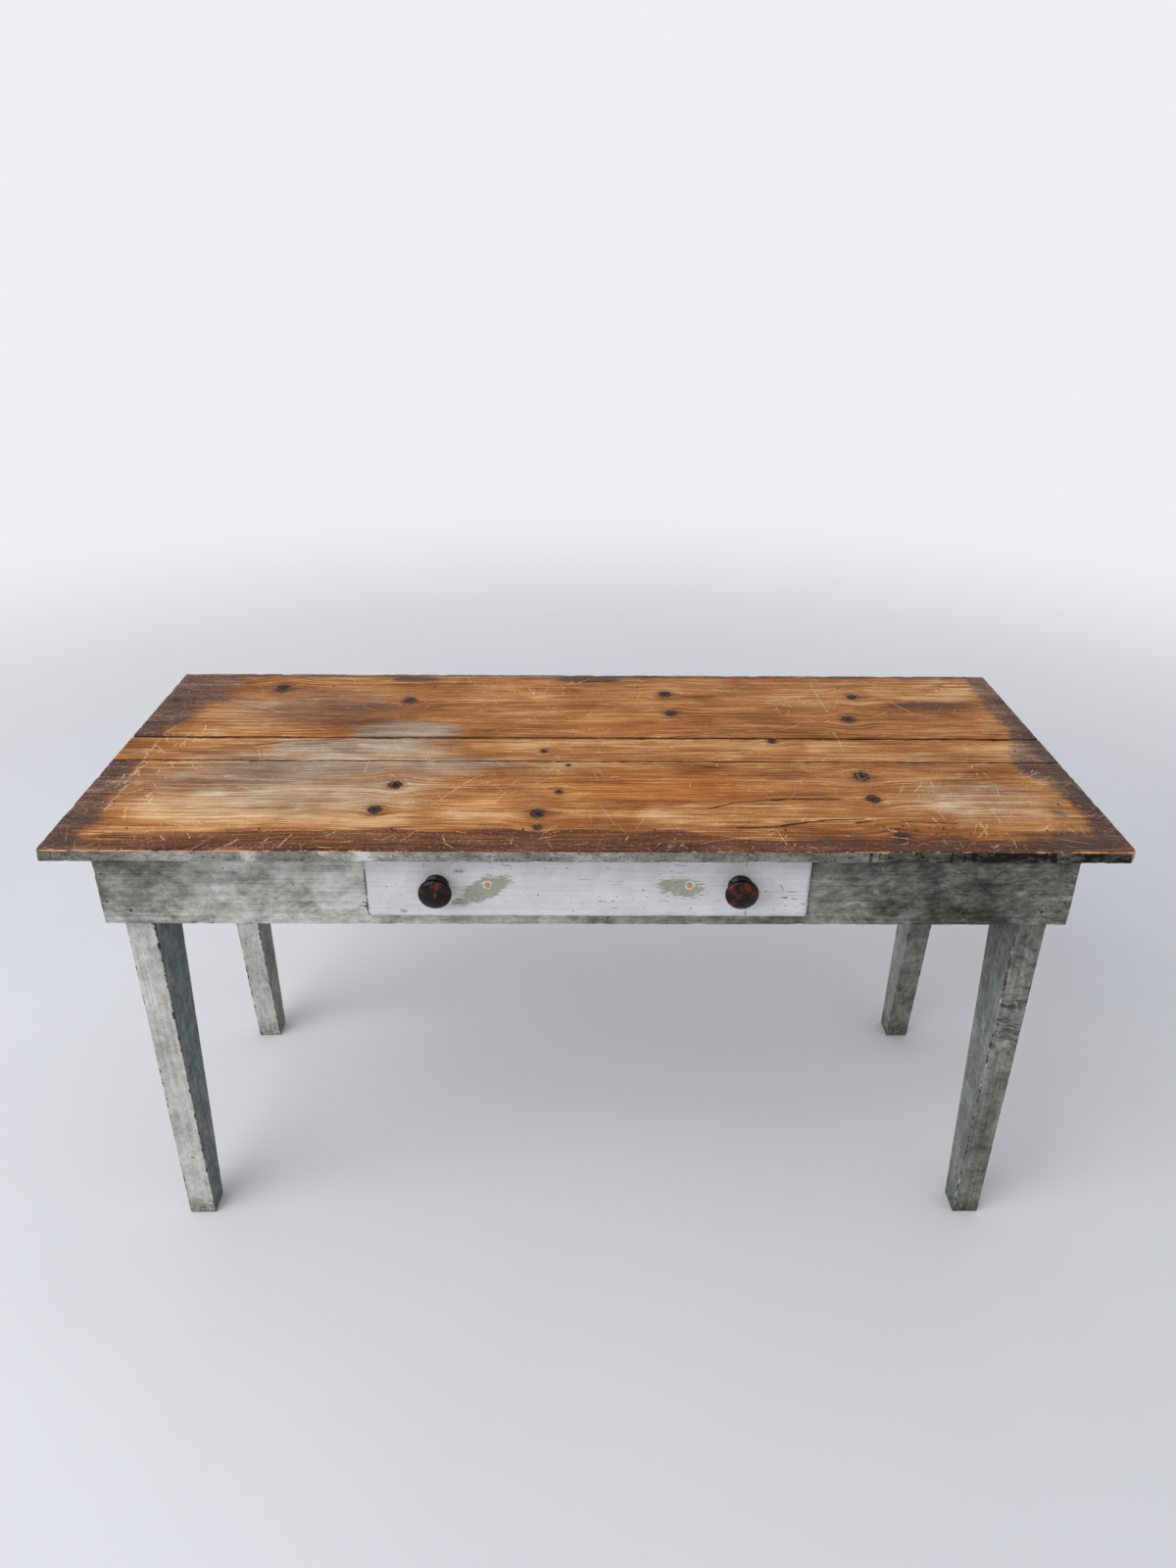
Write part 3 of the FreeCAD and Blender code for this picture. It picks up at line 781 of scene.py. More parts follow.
def finish_marks(flat, label):
    """Where the brown finish is left, and the red band along the front."""
    x, y, _ = flat.T
    left = 1 - ramp(x + end, 8 * MM, 96 * MM + 110 * MM * ramp(y, 0.06, 0.2))
    left *= 0.3 if label == "middle" else 1.0
    far_right = 1 - ramp(end - x, 14 * MM, 66 * MM)
    lobe = soft_areas(flat, FINISH_LOBES)
    behind = 0.75 * (1 - ramp(back - y, 6 * MM, 34 * MM))
    before = 0.7 * (1 - ramp(y - front, 8 * MM, 40 * MM))
    fade = 0.64 + 0.36 * ramp(x, -0.58, -0.42) - 0.16 * ramp(x, 0.1, 0.3)
    fade *= 0.92 + 0.3 * lattice_noise(flat * (1, 0, 0), 110 * MM, 61)
    upper = y - front + 5 * MM * lattice_noise(flat * (1, 0, 0), 70 * MM, 62)
    upper += 24 * MM * ramp(x, 0.1, 0.26)
    band = fade * (1 - ramp(upper, 46 * MM, 66 * MM)) * ramp(x + end, 20 * MM, 70 * MM)
    return {"finish": np.maximum.reduce((left, far_right, lobe, behind, before)), "band": band}


print("the top runs from", front, "to", back)


# %% The edges of the top
RIM_DEPTH, NOT_A_JOINT = 2.5 * MM, 9


def edge_marks(flat, low, high, label, broken):
    """The painted rim, the dark seams, the underside and the bare arrises."""
    x, y, z = flat.T
    beside = np.minimum.reduce((x + end, end - x, y - front, back - y))
    at_rim = beside < RIM_DEPTH
    below = crown - z
    joint = np.minimum(np.abs(y - low[1]) + NOT_A_JOINT * (low[1] < front + MM),
                       np.abs(y - high[1]) + NOT_A_JOINT * (high[1] > back - MM))
    seam = 1 - ramp(joint, 0.4 * MM, (3.4 if label == "back" else 2.4) * MM)
    seam = np.maximum(seam, ramp(below, 1.0 * MM, 4 * MM) * ~at_rim) * (z > sole + 2 * MM)
    splash = 0.5 * hill(x, -0.302, 0.014) + 0.25 * hill(x, -0.455, 0.012)
    dark_rim = 0.38 - splash + 0.1 * (1 - ramp(x, -0.72, -0.6)) + 0.56 * ramp(x, 0.15, 0.6)
    dark_rim += 0.2 * (beside == back - y)
    on_top = ramp(z, crown - 3 * MM, crown - 1 * MM)
    on_front = on_top * (1 - ramp(y - front, 1.2 * MM, 3 * MM))
    on_right = on_top * (1 - ramp(end - x, 1.2 * MM, 3 * MM))
    bare = 0.38 + 0.3 * (1 - ramp(x, -0.5, -0.2)) + 0.12 * ramp(x, 0.05, 0.3)
    bare += 0.35 * ramp(x, 0.66, 0.72)
    arris = np.clip(broken - 0.15, 0, 0.9) * (x > 0) + on_front * bare
    arris += 0.72 * on_right * (1 - ramp(y - front, 50 * MM, 100 * MM))
    return {"rim": ramp(below, 0.8 * MM, 2.2 * MM) * at_rim, "seam": seam, "dark_rim": dark_rim,
            "under": 1.0 * (z < sole + 0.6 * MM), "front_arris": arris}


print("the edge of the top is", round((crown - sole) / MM), "mm high")

# %% Top boards
for number, label in enumerate(("front", "middle", "back")):
    low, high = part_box("top_board_" + label)
    shape = block(low, high, radius=2 * MM, steps=(6 * MM, 5 * MM, 5 * MM))
    flat = shape.points.copy()
    weather(shape, 10 * number + 3, lump=(220 * MM, 60 * MM, 60 * MM), wave=0.5 * MM, chip=1.8 * MM)
    broken = break_corners(shape, flat)
    marks = {area: soft_areas(flat, rows) for area, rows in AREAS.items()}
    marks.update(finish_marks(flat, label), **edge_marks(flat, low, high, label, broken))
    marks.update(line_marks(flat, CRACKS, "crack", CRACK_LAYERS))
    marks.update(line_marks(flat, SCRATCHES, "scratch", SCRATCH_LAYERS))
    marks["board"] = np.full(len(flat), float(number))
    plank = make_piece("worn_top_board_" + label, shape.points, shape.faces, marks)
    dress(plank, top_wood, "table", "top_wood", "top_board_" + label)
    print(plank.name, len(flat), "points")

# %% [markdown]
# ## Old paint
# The frame of the table carries an old grey paint, rubbed, dirty and gone from the arrises.
# Paint over wood could be two materials with a mask between them. It is one here: the colour
# goes from light to dark paint with clouds of dirt, and where the edge mark and noise agree,
# the bare wood comes through. A tone mark on the mesh says how dark a piece is at each point,
# and in places it carries painted shade and painted light as well.

# %% The coat of paint
def drawn_out(across, along, axis):
    """Numbers for the three axes, with another one along the axis that the brush ran."""
    numbers = [across] * 3
    numbers[axis] = along
    return tuple(numbers)


def paint_coat(wires, place, tones, along, rub_angle, spread, brush_depth):
    """Clouds of dirt, strokes of the brush along one axis, rubbing at an angle, a blue cast
    that is partly paint and partly painted shade, and smears.
    """
    drawn = wires.vector("MULTIPLY", place, drawn_out(1.0, 0.8, along))
    broad, cloud, small = [wires.use("mottle", Place=drawn, Scale=scale)
                           for scale in (9.0, 30.0, 95.0)]
    strokes = wires.noise(place, drawn_out(300.0, 7.0, along), 3, 0.6)
    rubs = wires.noise(wires.turned(place, (0, rub_angle, 0)), (16, 60, 190), 3, 0.6)
    tone = wires.mark("tone") + broad["Cloud"].step(0.35, 0.8) * rubs.swing(0.3 * spread)
    tone = tone + broad["Cloud"].swing(0.34 * spread) + cloud["Cloud"].swing(0.3 * spread)
    tone = tone + small["Cloud"].swing(0.22 * spread) + small["Speck"].swing(0.2 * spread)
    colour = (tone + strokes.swing(brush_depth)).ramp(*tones)
    # A blue cast on the legs' inner faces: the paint's colour, and on the left legs, turned from
    # the lamp, painted shade.
    colour = wires.mark("cold").blend(colour, shade(214, 236, 255), "MULTIPLY")
    bend = wires.noise(place, 14, 2).swing(0.1)
    curved = wires.vector("ADD", place, wires.node("ShaderNodeCombineXYZ", {"X": bend, "Z": bend}))
    smears = wires.noise(curved, (34, 34, 130), 4, 0.65).step(0.44, 0.62) * wires.mark("smear")
    return colour.coat(shade(34, 35, 30), smears), strokes, cloud, small


print("brush strokes along the table:", drawn_out(300.0, 7.0, 0))


# %% Paint material
def old_paint(label, tones, along, rub_angle, bare, extra=None, spread=1.0, loss=0.5,
              brush_depth=0.5):
    """Old paint: its coat, then dirt and painted shade, cracks and a painted shadow line,
    flaked and rubbed arrises, dents and pits.
    """
    wires = new_material(label)
    place = wires.place()
    colour, strokes, cloud, small = paint_coat(wires, place, tones, along, rub_angle, spread,
                                               brush_depth)
    if extra:
        colour = extra(wires, place, colour, cloud)
    # Dirt, and along the aprons' top edge painted shade under the top's overhang.
    colour = colour.coat(shade(50, 48, 40), wires.mark("grime") * cloud["Speck"].step(0.1, 0.75))
    upright = wires.turned(place, (math.pi / 2, 0, 0))
    hairs = wires.use("fine_scratches", Place=upright, Scale=1.6)["Mask"]
    colour = colour.coat(shade(196, 196, 188), hairs * 0.2)

    # Cracks, and on the front apron the painted shadow round the drawer's lip, broken up by the
    # small cloud.
    off = wires.mark("crack_0_off") + wires.noise(place, 90, 2).swing(2.5)
    crack = wires.use("long_mark", Off=off, Wide=wires.mark("crack_0_wide"))["Mask"]
    crack = crack * small["Cloud"].step(0.2, 0.5)
    colour = colour.coat(shade(38, 36, 32), crack * 0.9)

    flakes = wires.vector("MULTIPLY", place, (70, 70, 70))
    worn = wires.use("flaking", Wear=wires.mark("edge") * loss, Place=flakes, Ragged=1.5)["Bare"]
    bare = np.array(bare)
    colour = colour.coat(strokes.ramp((0.3, 0.6 * bare), (0.7, 1.1 * bare)), worn)
    rubbed = wires.mark("pale_arris") + wires.noise(place, 50, 3).swing(1.0)
    colour = colour.coat(shade(192, 190, 182), rubbed.step(0.5, 0.62) * 0.75)
    dents = wires.noise(place, drawn_out(190.0, 34.0, along), 2).step(0.68, 0.74)
    colour = colour.coat(shade(70, 68, 60), dents * 0.4)
    pits = wires.noise(place, 150, 2).step(0.69, 0.74)
    colour = colour.coat(shade(42, 40, 34), pits * 0.7)

    rough = 0.5 + small["Cloud"] * 0.2
    height = strokes * 0.5 + small["Speck"] * 0.25 - (worn + pits) * 0.6 - crack
    print(label, len(wires.tree.nodes), "nodes")
    return finish(wires, colour, rough, height, depth=0.35 * MM, **gloss(0.16))


GREYS = ((0.0, (206, 205, 201)), (0.3, (166, 165, 159)), (0.55, (124, 125, 117)),
         (0.8, (84, 86, 79)), (1.0, (48, 50, 44)))
apron_paint = old_paint("old_grey_apron_paint", GREYS, 0, 0.5, bare=(110, 92, 66), loss=0.36)
leg_paint = old_paint("old_grey_leg_paint", GREYS, 2, -0.4, bare=(70, 60, 48),
                      spread=0.62, brush_depth=0.55)

# %% [markdown]
# ## Aprons and legs
# The aprons are plain boards; the front one has the opening for the drawer sawn out of it.
# That hole is cut with a Boolean, which takes one mesh from another as a saw would, and the
# marks are laid on afterwards because the cut makes new points. A leg is a block whose inner
# face is pulled towards the outer one below the apron, so it tapers to the foot.

# %% Cutting and joining with Booleans, and cracks and painted shadow lines in paint
# The outer faces of the aprons and the drawer lie farther than this from the middle of the table.
FACES_FROM = 0.26


def apply_modifier(piece, modifier):
    """Turns a piece and what its modifier does into one plain mesh."""
    graph = bpy.context.evaluated_depsgraph_get()
    mesh = bpy.data.meshes.new_from_object(piece.evaluated_get(graph))
    piece.modifiers.remove(modifier)
    old = piece.data
    piece.data = mesh
    bpy.data.meshes.remove(old)
    mesh.name = piece.name


def combine(piece, tool, operation):
    """One solid cut from another or joined to it. The tool is used up."""
    joiner = piece.modifiers.new("combine", "BOOLEAN")
    joiner.operation = operation
    joiner.solver = "EXACT"
    joiner.object = tool
    apply_modifier(piece, joiner)
    bpy.data.objects.remove(tool)


def cracks_and_shadow_lines(points, lines):
    """Cracks and painted shadow lines on the outer faces, drawn in millimetres along the table and
    up from the floor.
    """
    marks = line_marks(points[:, (0, 2, 1)], lines, "crack", 1)
    marks["crack_0_wide"] = marks["crack_0_wide"] * (np.abs(points[:, 1]) > FACES_FROM)
    return marks


print("saw and glue ready")

# %% The opening for the drawer and the marks of the aprons
drawer_low, drawer_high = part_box("drawer_side_left")[0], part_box("drawer_side_right")[1]
OPENING_ROOM, OPENING_DROP, OPENING_REACH = 2 * MM, 0.3 * MM, 0.05
# The painted shadow round the drawer's lip on the apron: its width, and how far outside the lip it
# runs, in millimetres.
LIP_SHADOW_WIDTH, LIP_SHADOW_ROOM = 2.4, 0.8
lip_low, lip_high = (np.array(corner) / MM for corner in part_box("drawer_front"))
lip_left, _, lip_foot = lip_low - LIP_SHADOW_ROOM
lip_right, _, lip_head = lip_high + LIP_SHADOW_ROOM
# The apron's cracks. The last line is not a crack but painted shadow, drawn just outside the
# drawer's lip.
APRON_CRACKS_AND_LIP_SHADOW = (
    (0.9, (-456, 645), (-432, 649)), (0.8, (-662, 634), (-656, 634)),
    (0.9, (-482, 613), (-478, 613)), (0.7, (20, 634), (30, 612)),
    (0.8, (-330, 640), (-302, 642)), (0.8, (600, 634), (610, 636)),
    (LIP_SHADOW_WIDTH, (lip_left, lip_head), (lip_left, lip_foot),
     (lip_right, lip_foot), (lip_right, lip_head)))


def apron_marks(points, low, high, label):
    x, _, z = points.T
    tone = 0.385 + 0.335 * ramp(x, -0.05, 0.55) + 0.12 * (1 - ramp(x, -0.66, -0.45))
    # The tone darkens towards the top of each apron: painted shade under the top's overhang.
    tone += 0.16 * ramp(z, high[2] - 50 * MM, high[2]) - 0.1 * ramp(z, 0.66, 0.61) * (x < 0)
    tone += 0.05 * (1 - ramp(x, -0.6, -0.5)) - 0.14 * hill(x, -0.42, 0.12)
    tone += 0.12 * (np.abs(x) < 0.31) * (z < 0.64) - 0.16 * (label == "right")
    # The band along the top edge is partly dirt and partly painted shade under the overhang. The
    # right end is dirtier.
    grime = 0.5 * ramp(z, high[2] - 18 * MM, high[2]) + 0.25 * ramp(x, 0.5, 0.7)
    smear = (0.5 if label == "front" else 0.2) * ramp(x, 0.3, 0.4)
    smear += 0.15 * (1 - ramp(x, -0.7, -0.45))
    marks = {"tone": tone, "grime": grime, "smear": smear, "edge": arris_mark(points, low, high)}
    if label == "front":
        marks.update(cracks_and_shadow_lines(points, APRON_CRACKS_AND_LIP_SHADOW))
    return marks


print("a dark line runs round the drawer's lip, from", lip_left, "to", lip_right, "mm")

# %% Aprons
for number, label in enumerate(("front", "back", "left", "right")):
    low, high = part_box("apron_" + label)
    shape = block(low, high, radius=1.5 * MM, steps=(7 * MM, 6 * MM, 7 * MM))
    weather(shape, 40 + 10 * number,
            lump=(160 * MM, 50 * MM, 50 * MM), wave=0.5 * MM, chip=2.0 * MM)
    apron = make_piece("painted_apron_" + label, shape.points, shape.faces)
    if label == "front":
        hole = block((drawer_low[0] - OPENING_ROOM, low[1] - OPENING_REACH,
                      drawer_low[2] - OPENING_DROP),
                     (drawer_high[0] + OPENING_ROOM, high[1] + OPENING_REACH,
                      drawer_high[2] + OPENING_ROOM), radius=0.2 * MM, steps=(0.2, 0.2, 0.2))
        combine(apron, make_piece("drawer_opening", hole.points, hole.faces), "DIFFERENCE")
    write_marks(apron.data, apron_marks(read_points(apron.data), low, high, label))
    dress(apron, apron_paint, "table", "apron_paint", "apron_" + label)
    print(apron.name, len(apron.data.vertices), "points")

# %% The taper and the marks of the legs
apron_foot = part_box("apron_front")[0][2]
FOOT_DEPTH = 43 * MM
# How blue each leg's inner face is: on the left legs it is partly painted shade, on the right ones
# the paint's colour.
COLD_LEGS = {"front_left": 0.8, "front_right": 0.45, "back_left": 0.2, "back_right": 0.2}


def taper(shape, low, high, label):
    """Thins a leg from the apron down to the foot. Its outer face stays upright."""
    outer = low[1] if label.startswith("front") else high[1]
    thin = np.clip((apron_foot - shape.points[:, 2]) / apron_foot, 0, 1)
    thin = 1 - thin * (1 - FOOT_DEPTH / (high[1] - low[1]))
    shape.points[:, 1] = outer + (shape.points[:, 1] - outer) * thin


def leg_marks(shape, low, high, label):
    x, y, z = shape.points.T
    rightward = label.endswith("right")
    inner_face = (x < low[0] + 1 * MM) if rightward else (x > high[0] - 1 * MM)
    front_face = y < low[1] + 2.5 * MM
    # The left legs' inner faces, turned from the lamp, are painted darker than their fronts:
    # painted shade. The back right leg's inner face, turned to the lamp, is painted lighter:
    # painted light.
    tone = np.where(inner_face, 0.6 if rightward else 0.62, 0.6 if rightward else 0.27)
    tone -= 0.2 * inner_face * (label == "back_right")
    tone += 0.1 * ramp(z, 0.45, 0.62) * rightward
    smear = 0.2 * rightward * ~inner_face
    if label == "front_right":
        smear = ~inner_face * (0.25 + 0.5 * hill(z, 0.44, 0.1) + 0.2 * ramp(z, 0.5, 0.6))
        smear = np.where(front_face, smear, 0.4 * smear)
    grime = 0.75 * (1 - ramp(z, 0, 50 * MM)) + 0.06 * rightward
    arris = front_face & (np.abs(x - (low[0] if rightward else high[0])) < 2.4 * MM)
    return {"tone": tone, "grime": grime, "smear": smear, "edge": shape.edge ** 2,
            "cold": COLD_LEGS[label] * inner_face, "pale_arris": 0.42 * arris * rightward}


print("the legs taper below", round(apron_foot / MM), "mm")

# %% Legs
for number, label in enumerate(COLD_LEGS):
    low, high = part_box("leg_" + label)
    shape = block(low, high, radius=1.8 * MM, steps=(6 * MM, 7 * MM, 9 * MM))
    weather(shape, 90 + 10 * number,
            lump=(50 * MM, 50 * MM, 170 * MM), wave=0.4 * MM, chip=0.45 * MM)
    taper(shape, low, high, label)
    marks = leg_marks(shape, low, high, label)
    leg = make_piece("painted_leg_" + label, shape.points, shape.faces, marks)
    dress(leg, leg_paint, "table", "leg_paint", "leg_" + label)
    print(leg.name, len(shape.points), "points")

# %% [markdown]
# ## The drawer front
# The drawer front is one thick board whose lip covers the opening. Its paint is paler than the
# frame's, a cold white, and round two plugged holes of an older pull it has flaked to a sage
# green underneath; behind the lip it was never painted. The lip is a block with a generous
# radius on its front only: it is built deeper than it is and pressed flat behind, then joined
# to the block that enters the opening.

# %% Drawer paint
BARE_PINE = (0.15, (128, 86, 50)), (0.5, (182, 140, 96)), (0.85, (208, 174, 130))


def sage_patches(wires, place, colour, cloud):
    """Where the pale paint has flaked to the green coat under it, and where there is none."""
    spread = wires.vector("MULTIPLY", place, (80, 80, 560))
    patch = wires.mark("patch")
    rim, bare = [wires.use("flaking", Wear=wear, Place=spread, Ragged=1.8)["Bare"]
                 for wear in (patch + 0.09, patch)]
    sage = cloud["Speck"].blend(shade(146, 149, 132), shade(160, 161, 148))
    colour = colour.coat(shade(206, 205, 206), rim * 0.6).coat(sage, bare)
    unpainted = wires.use("pine_grain", Place=place)["Tone"].ramp(*BARE_PINE)
    return colour.coat(unpainted, wires.mark("inside").step(0.4, 0.6))


PALES = ((0.0, (212, 212, 215)), (0.3, (192, 193, 195)),
         (0.6, (168, 168, 170)), (1.0, (112, 111, 106)))
drawer_paint = old_paint("old_pale_drawer_paint", PALES, 0, 0.12, bare=(150, 144, 124),
                         extra=sage_patches, spread=0.5, brush_depth=0.6)

# %% The marks of the drawer front
# The cracks, then patches of sage: their middles, half sizes, slopes and strengths
DRAWER_CRACKS = (
    (0.7, (224, 629), (224, 648)), (0.6, (220, 716), (221, 729)),
    (0.7, (270, 684), (276, 672), (302, 674)), (0.8, (288, 661), (296, 660)),
    (0.8, (300, 652), (308, 651)), (0.8, (296, 640), (308, 642)), (0.7, (-190, 660), (-180, 659)),
    (0.6, (-120, 716), (-108, 714)), (0.6, (120, 716), (150, 714)))
SAGE = ((-146, 676, 44, 23, 0.42, 0.92), (130, 679, 44, 21, -0.12, 0.8),
        (-178, 655, 20, 9, 0.2, 0.8), (-184, 705, 16, 5, 0.1, 0.62),
        (-262, 640, 8, 5, 0, 0.6), (-196, 683, 12, 8, 0, 0.5))
PLUG_SIDE, PLUG_HEIGHT, LIP_HALF = 142, 683, 313


def drawer_marks(points, low, high, lip_back):
    x, _, z = points.T / MM
    patch = 0.1 + 0.16 * ramp(np.abs(x), 235, 300)
    for px, pz, half_x, half_z, slope, strength in SAGE:
        far = np.hypot((x - px) / half_x, (z - pz - slope * (x - px)) / half_z)
        patch = np.maximum(patch, strength * (1 - ramp(far, 0.2, 1.5)))
    for px in (-PLUG_SIDE, PLUG_SIDE):
        ring = np.hypot(x - px, z - PLUG_HEIGHT)
        patch *= 1 - 0.75 * hill(ring, 5.4, 1.7)
    edge = arris_mark(points, low, high, 7 * MM)
    tone = 0.16 + 0.25 * np.clip(np.abs(x) / LIP_HALF - 0.8, 0, 1)
    inside = 1.0 * (points[:, 1] > lip_back + 1 * MM)
    return {"patch": patch, "tone": tone, "grime": 0.35 * edge, "edge": 0.75 * edge,
            "inside": inside, **cracks_and_shadow_lines(points, DRAWER_CRACKS)}


print(len(SAGE), "patches and", len(DRAWER_CRACKS), "cracks")

# %% Drawer front
LIP_THICKNESS, LIP_RADIUS = 10 * MM, 6 * MM
low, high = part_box("drawer_front")
lip_back = low[1] + LIP_THICKNESS
shape = block(low, (high[0], lip_back + LIP_RADIUS, high[2]), LIP_RADIUS,
              steps=(2.6 * MM, 3 * MM, 2.4 * MM))
weather(shape, 150, lump=(150 * MM, 60 * MM, 60 * MM), wave=0.4 * MM, chip=1.0 * MM)
shape.points[:, 1] = np.minimum(shape.points[:, 1], lip_back)
drawer_front = make_piece("painted_drawer_front", shape.points, shape.faces)
inner = block((drawer_low[0], lip_back - 1 * MM, drawer_low[2]),
              (drawer_high[0], high[1], drawer_high[2]), radius=0.8 * MM, steps=(0.02, 0.02, 0.02))
combine(drawer_front, make_piece("drawer_front_block", inner.points, inner.faces), "UNION")
write_marks(drawer_front.data, drawer_marks(read_points(drawer_front.data), low, high, lip_back))
dress(drawer_front, drawer_paint, "drawer", "drawer_paint", "drawer_front")
print(drawer_front.name, len(drawer_front.data.vertices), "points")

# %% [markdown]
# ## Knobs and plugs
# The knobs were turned on a lathe, so their meshes are made the same way: half an outline is
# carried round an axis. Their brown glaze is dark and glossy, with reddish clouds where light
# gets into it. The plugs are whittled from bare wood and a little uneven.

# %% Lathe
def turned_piece(name, outline, centre, sides=72):
    """An outline of radius and rise, turned about an axis that points to the front."""
    angles = np.linspace(0, 2 * math.pi, sides, endpoint=False)
    rings = [np.stack((radius * np.cos(angles), np.full(sides, -rise), radius * np.sin(angles)), 1)
             for radius, rise in outline[1:-1]]
    ends = [[(0, -rise, 0)] for _, rise in (outline[0], outline[-1])]
    points = np.concatenate([ends[0], *rings, ends[1]]) + np.array(centre)
    last = len(points) - 1
    faces = []
    for side in range(sides):
        nxt = (side + 1) % sides
        faces.append((0, 1 + side, 1 + nxt))
        for ring in range(len(rings) - 1):
            base = 1 + ring * sides
            faces.append((base + side, base + sides + side, base + sides + nxt, base + nxt))
        base = 1 + (len(rings) - 1) * sides
        faces.append((base + nxt, base + side, last))
    made = make_piece(name, points, faces)
    work = bmesh.new()
    work.from_mesh(made.data)
    bmesh.ops.recalc_face_normals(work, faces=work.faces)
    work.to_mesh(made.data)
    work.free()
    return made


def smooth_outline(corners, count):
    """A smooth line through some corners, as a turner's gouge leaves it."""
    corners = np.array(corners)
    padded = np.vstack((2 * corners[0] - corners[1], corners, 2 * corners[-1] - corners[-2]))
    line = []
    for place in range(len(corners) - 1):
        before, first, second, after = padded[place:place + 4]
        for part in np.linspace(0, 1, count, endpoint=False):
            line.append(0.5 * (2 * first + (second - before) * part
                               + (2 * before - 5 * first + 4 * second - after) * part ** 2
                               + (3 * first - before - 3 * second + after) * part ** 3))
    return np.array(line + [corners[-1]])


print("lathe ready")


# %% Glaze and knobs
def glaze(label, red, scale, amount):
    """A dark brown glaze with more or less red in it, and painted shade on the back of the knob."""
    wires = new_material(label)
    place = wires.place()
    cloud = wires.use("mottle", Place=place, Scale=scale)
    streaks = wires.noise(place, (160, 160, 420), 3)
    cover = (cloud["Cloud"] + cloud["Speck"] * 0.4).step(0.95 - 0.5 * amount, 1.35)
    colour = cover.blend(shade(13, 7, 6), shade(*red))
    colour = colour.coat(shade(12, 7, 6), streaks.step(0.62, 0.8))
    # The neck and the back of the cap are painted near-black: painted shade behind the cap.
    colour = colour.coat(shade(9, 6, 6), wires.mark("deep"))
    rough = 0.1 + cloud["Speck"] * 0.12
    return finish(wires, colour, rough, cloud["Cloud"], depth=0.3 * MM, strength=0.2, **gloss(0.2))


KNOB = ((17.5, 2.2), (16.6, 3.2), (12.6, 6.4), (11.0, 9.6), (12.4, 13.4), (16.6, 16.2),
        (20.6, 18.4), (23.0, 20.8), (23.5, 22.6), (22.6, 25.4), (19.5, 27.7), (13.0, 30.6),
        (6.0, 32.6), (0.0, 33.0))
KNOB_RADIUS, KNOB_FOOT = 23.5, 17.0
outline = np.vstack(((0.0, 0.0), (KNOB_FOOT, 0.0), smooth_outline(KNOB, 4))) * MM
outline[:, 0] = np.clip(outline[:, 0], 0, KNOB_RADIUS * MM)
GLAZES = ("left", (112, 56, 24), 79.0, 0.14), ("right", (98, 40, 15), 70.0, 0.46)
for side, red, scale, amount in GLAZES:
    low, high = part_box("knob_" + side)
    centre = ((low[0] + high[0]) / 2, high[1], (low[2] + high[2]) / 2)
    knob_piece = turned_piece("glazed_knob_" + side, outline, centre)
    rise = high[1] - read_points(knob_piece.data)[:, 1]
    # The painted shade behind the cap: full up to 18 mm from the drawer, gone by 24 mm.
    write_marks(knob_piece.data, {"deep": 1 - ramp(rise, 18 * MM, 24 * MM)})
    brown = glaze("brown_glaze_" + side, red, scale, amount)
    dress(knob_piece, brown, "drawer", "knob_glaze", "knob_" + side)
    print(knob_piece.name, len(outline), "rings")

# %% Plugs
wires = new_material("plug_pine")
rays = wires.noise(wires.place(), (500, 500, 120), 3)
colour = rays.blend(shade(172, 104, 46), shade(214, 150, 84))
plug_wood = finish(wires, colour, 0.55 + rays * 0.2, rays)

PLUG = np.array(((0, -6), (3.9, -6), (3.9, 0.1), (3.6, 0.45), (2.4, 0.55), (0, 0.6))) * MM
PLUG_ROOM, PLUG_SIDES = 5.5 * MM, 20
PLUG_UNEVEN, PLUG_WIDE, PLUG_HIGH = 0.14, 0.92, 1.12
low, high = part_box("old_handle_plugs")
plug_parts = []
for number, x in enumerate((low[0] + PLUG_ROOM, high[0] - PLUG_ROOM)):
    centre = np.array((x, low[1], (low[2] + high[2]) / 2))
    plug_part = turned_piece("plug_part", PLUG, centre, PLUG_SIDES)
    points = read_points(plug_part.data)
    around = points - centre
    uneven = 1 + PLUG_UNEVEN * lattice_noise(points, 5 * MM, 210 + number)
    points[:, 0] = x + around[:, 0] * uneven * PLUG_WIDE
    points[:, 2] += around[:, 2] * (uneven * PLUG_HIGH - 1)
    plug_part.data.vertices.foreach_set("co", points.ravel())
    plug_parts.append(plug_part)
plugs = plug_parts[0]
with bpy.context.temp_override(active_object=plugs, selected_editable_objects=plug_parts,
                               object=plugs, selected_objects=plug_parts):
    bpy.ops.object.join()
plugs.name = "whittled_plugs"
plugs.data.name = "whittled_plugs"
dress(plugs, plug_wood, "drawer", "plug_wood", "old_handle_plugs")
print("plugs", len(plugs.data.vertices), "points")

# %% [markdown]
# ## Nails
# Forged nails hold the top, the corners and the legs. Only their heads show. A head repeats,
# so Geometry Nodes make it: one low chamfered disc, set on each place that the CAD model gives,
# turned to face outwards, with a random spin and a slight tilt from a fixed seed. The result
# is turned into a plain mesh, because instances are lost when the model is exported.

# %% Iron
wires = new_material("rusty_iron")
rust = wires.use("mottle", Place=wires.place(), Scale=160.0)
colour = rust["Cloud"].blend(shade(30, 28, 27), shade(66, 48, 38))
rough = 0.5 + rust["Speck"] * 0.3
iron = finish(wires, colour, rough, rust["Speck"], depth=0.3 * MM, Metallic=0.6)
print("rusty_iron:", len(wires.tree.nodes), "nodes")

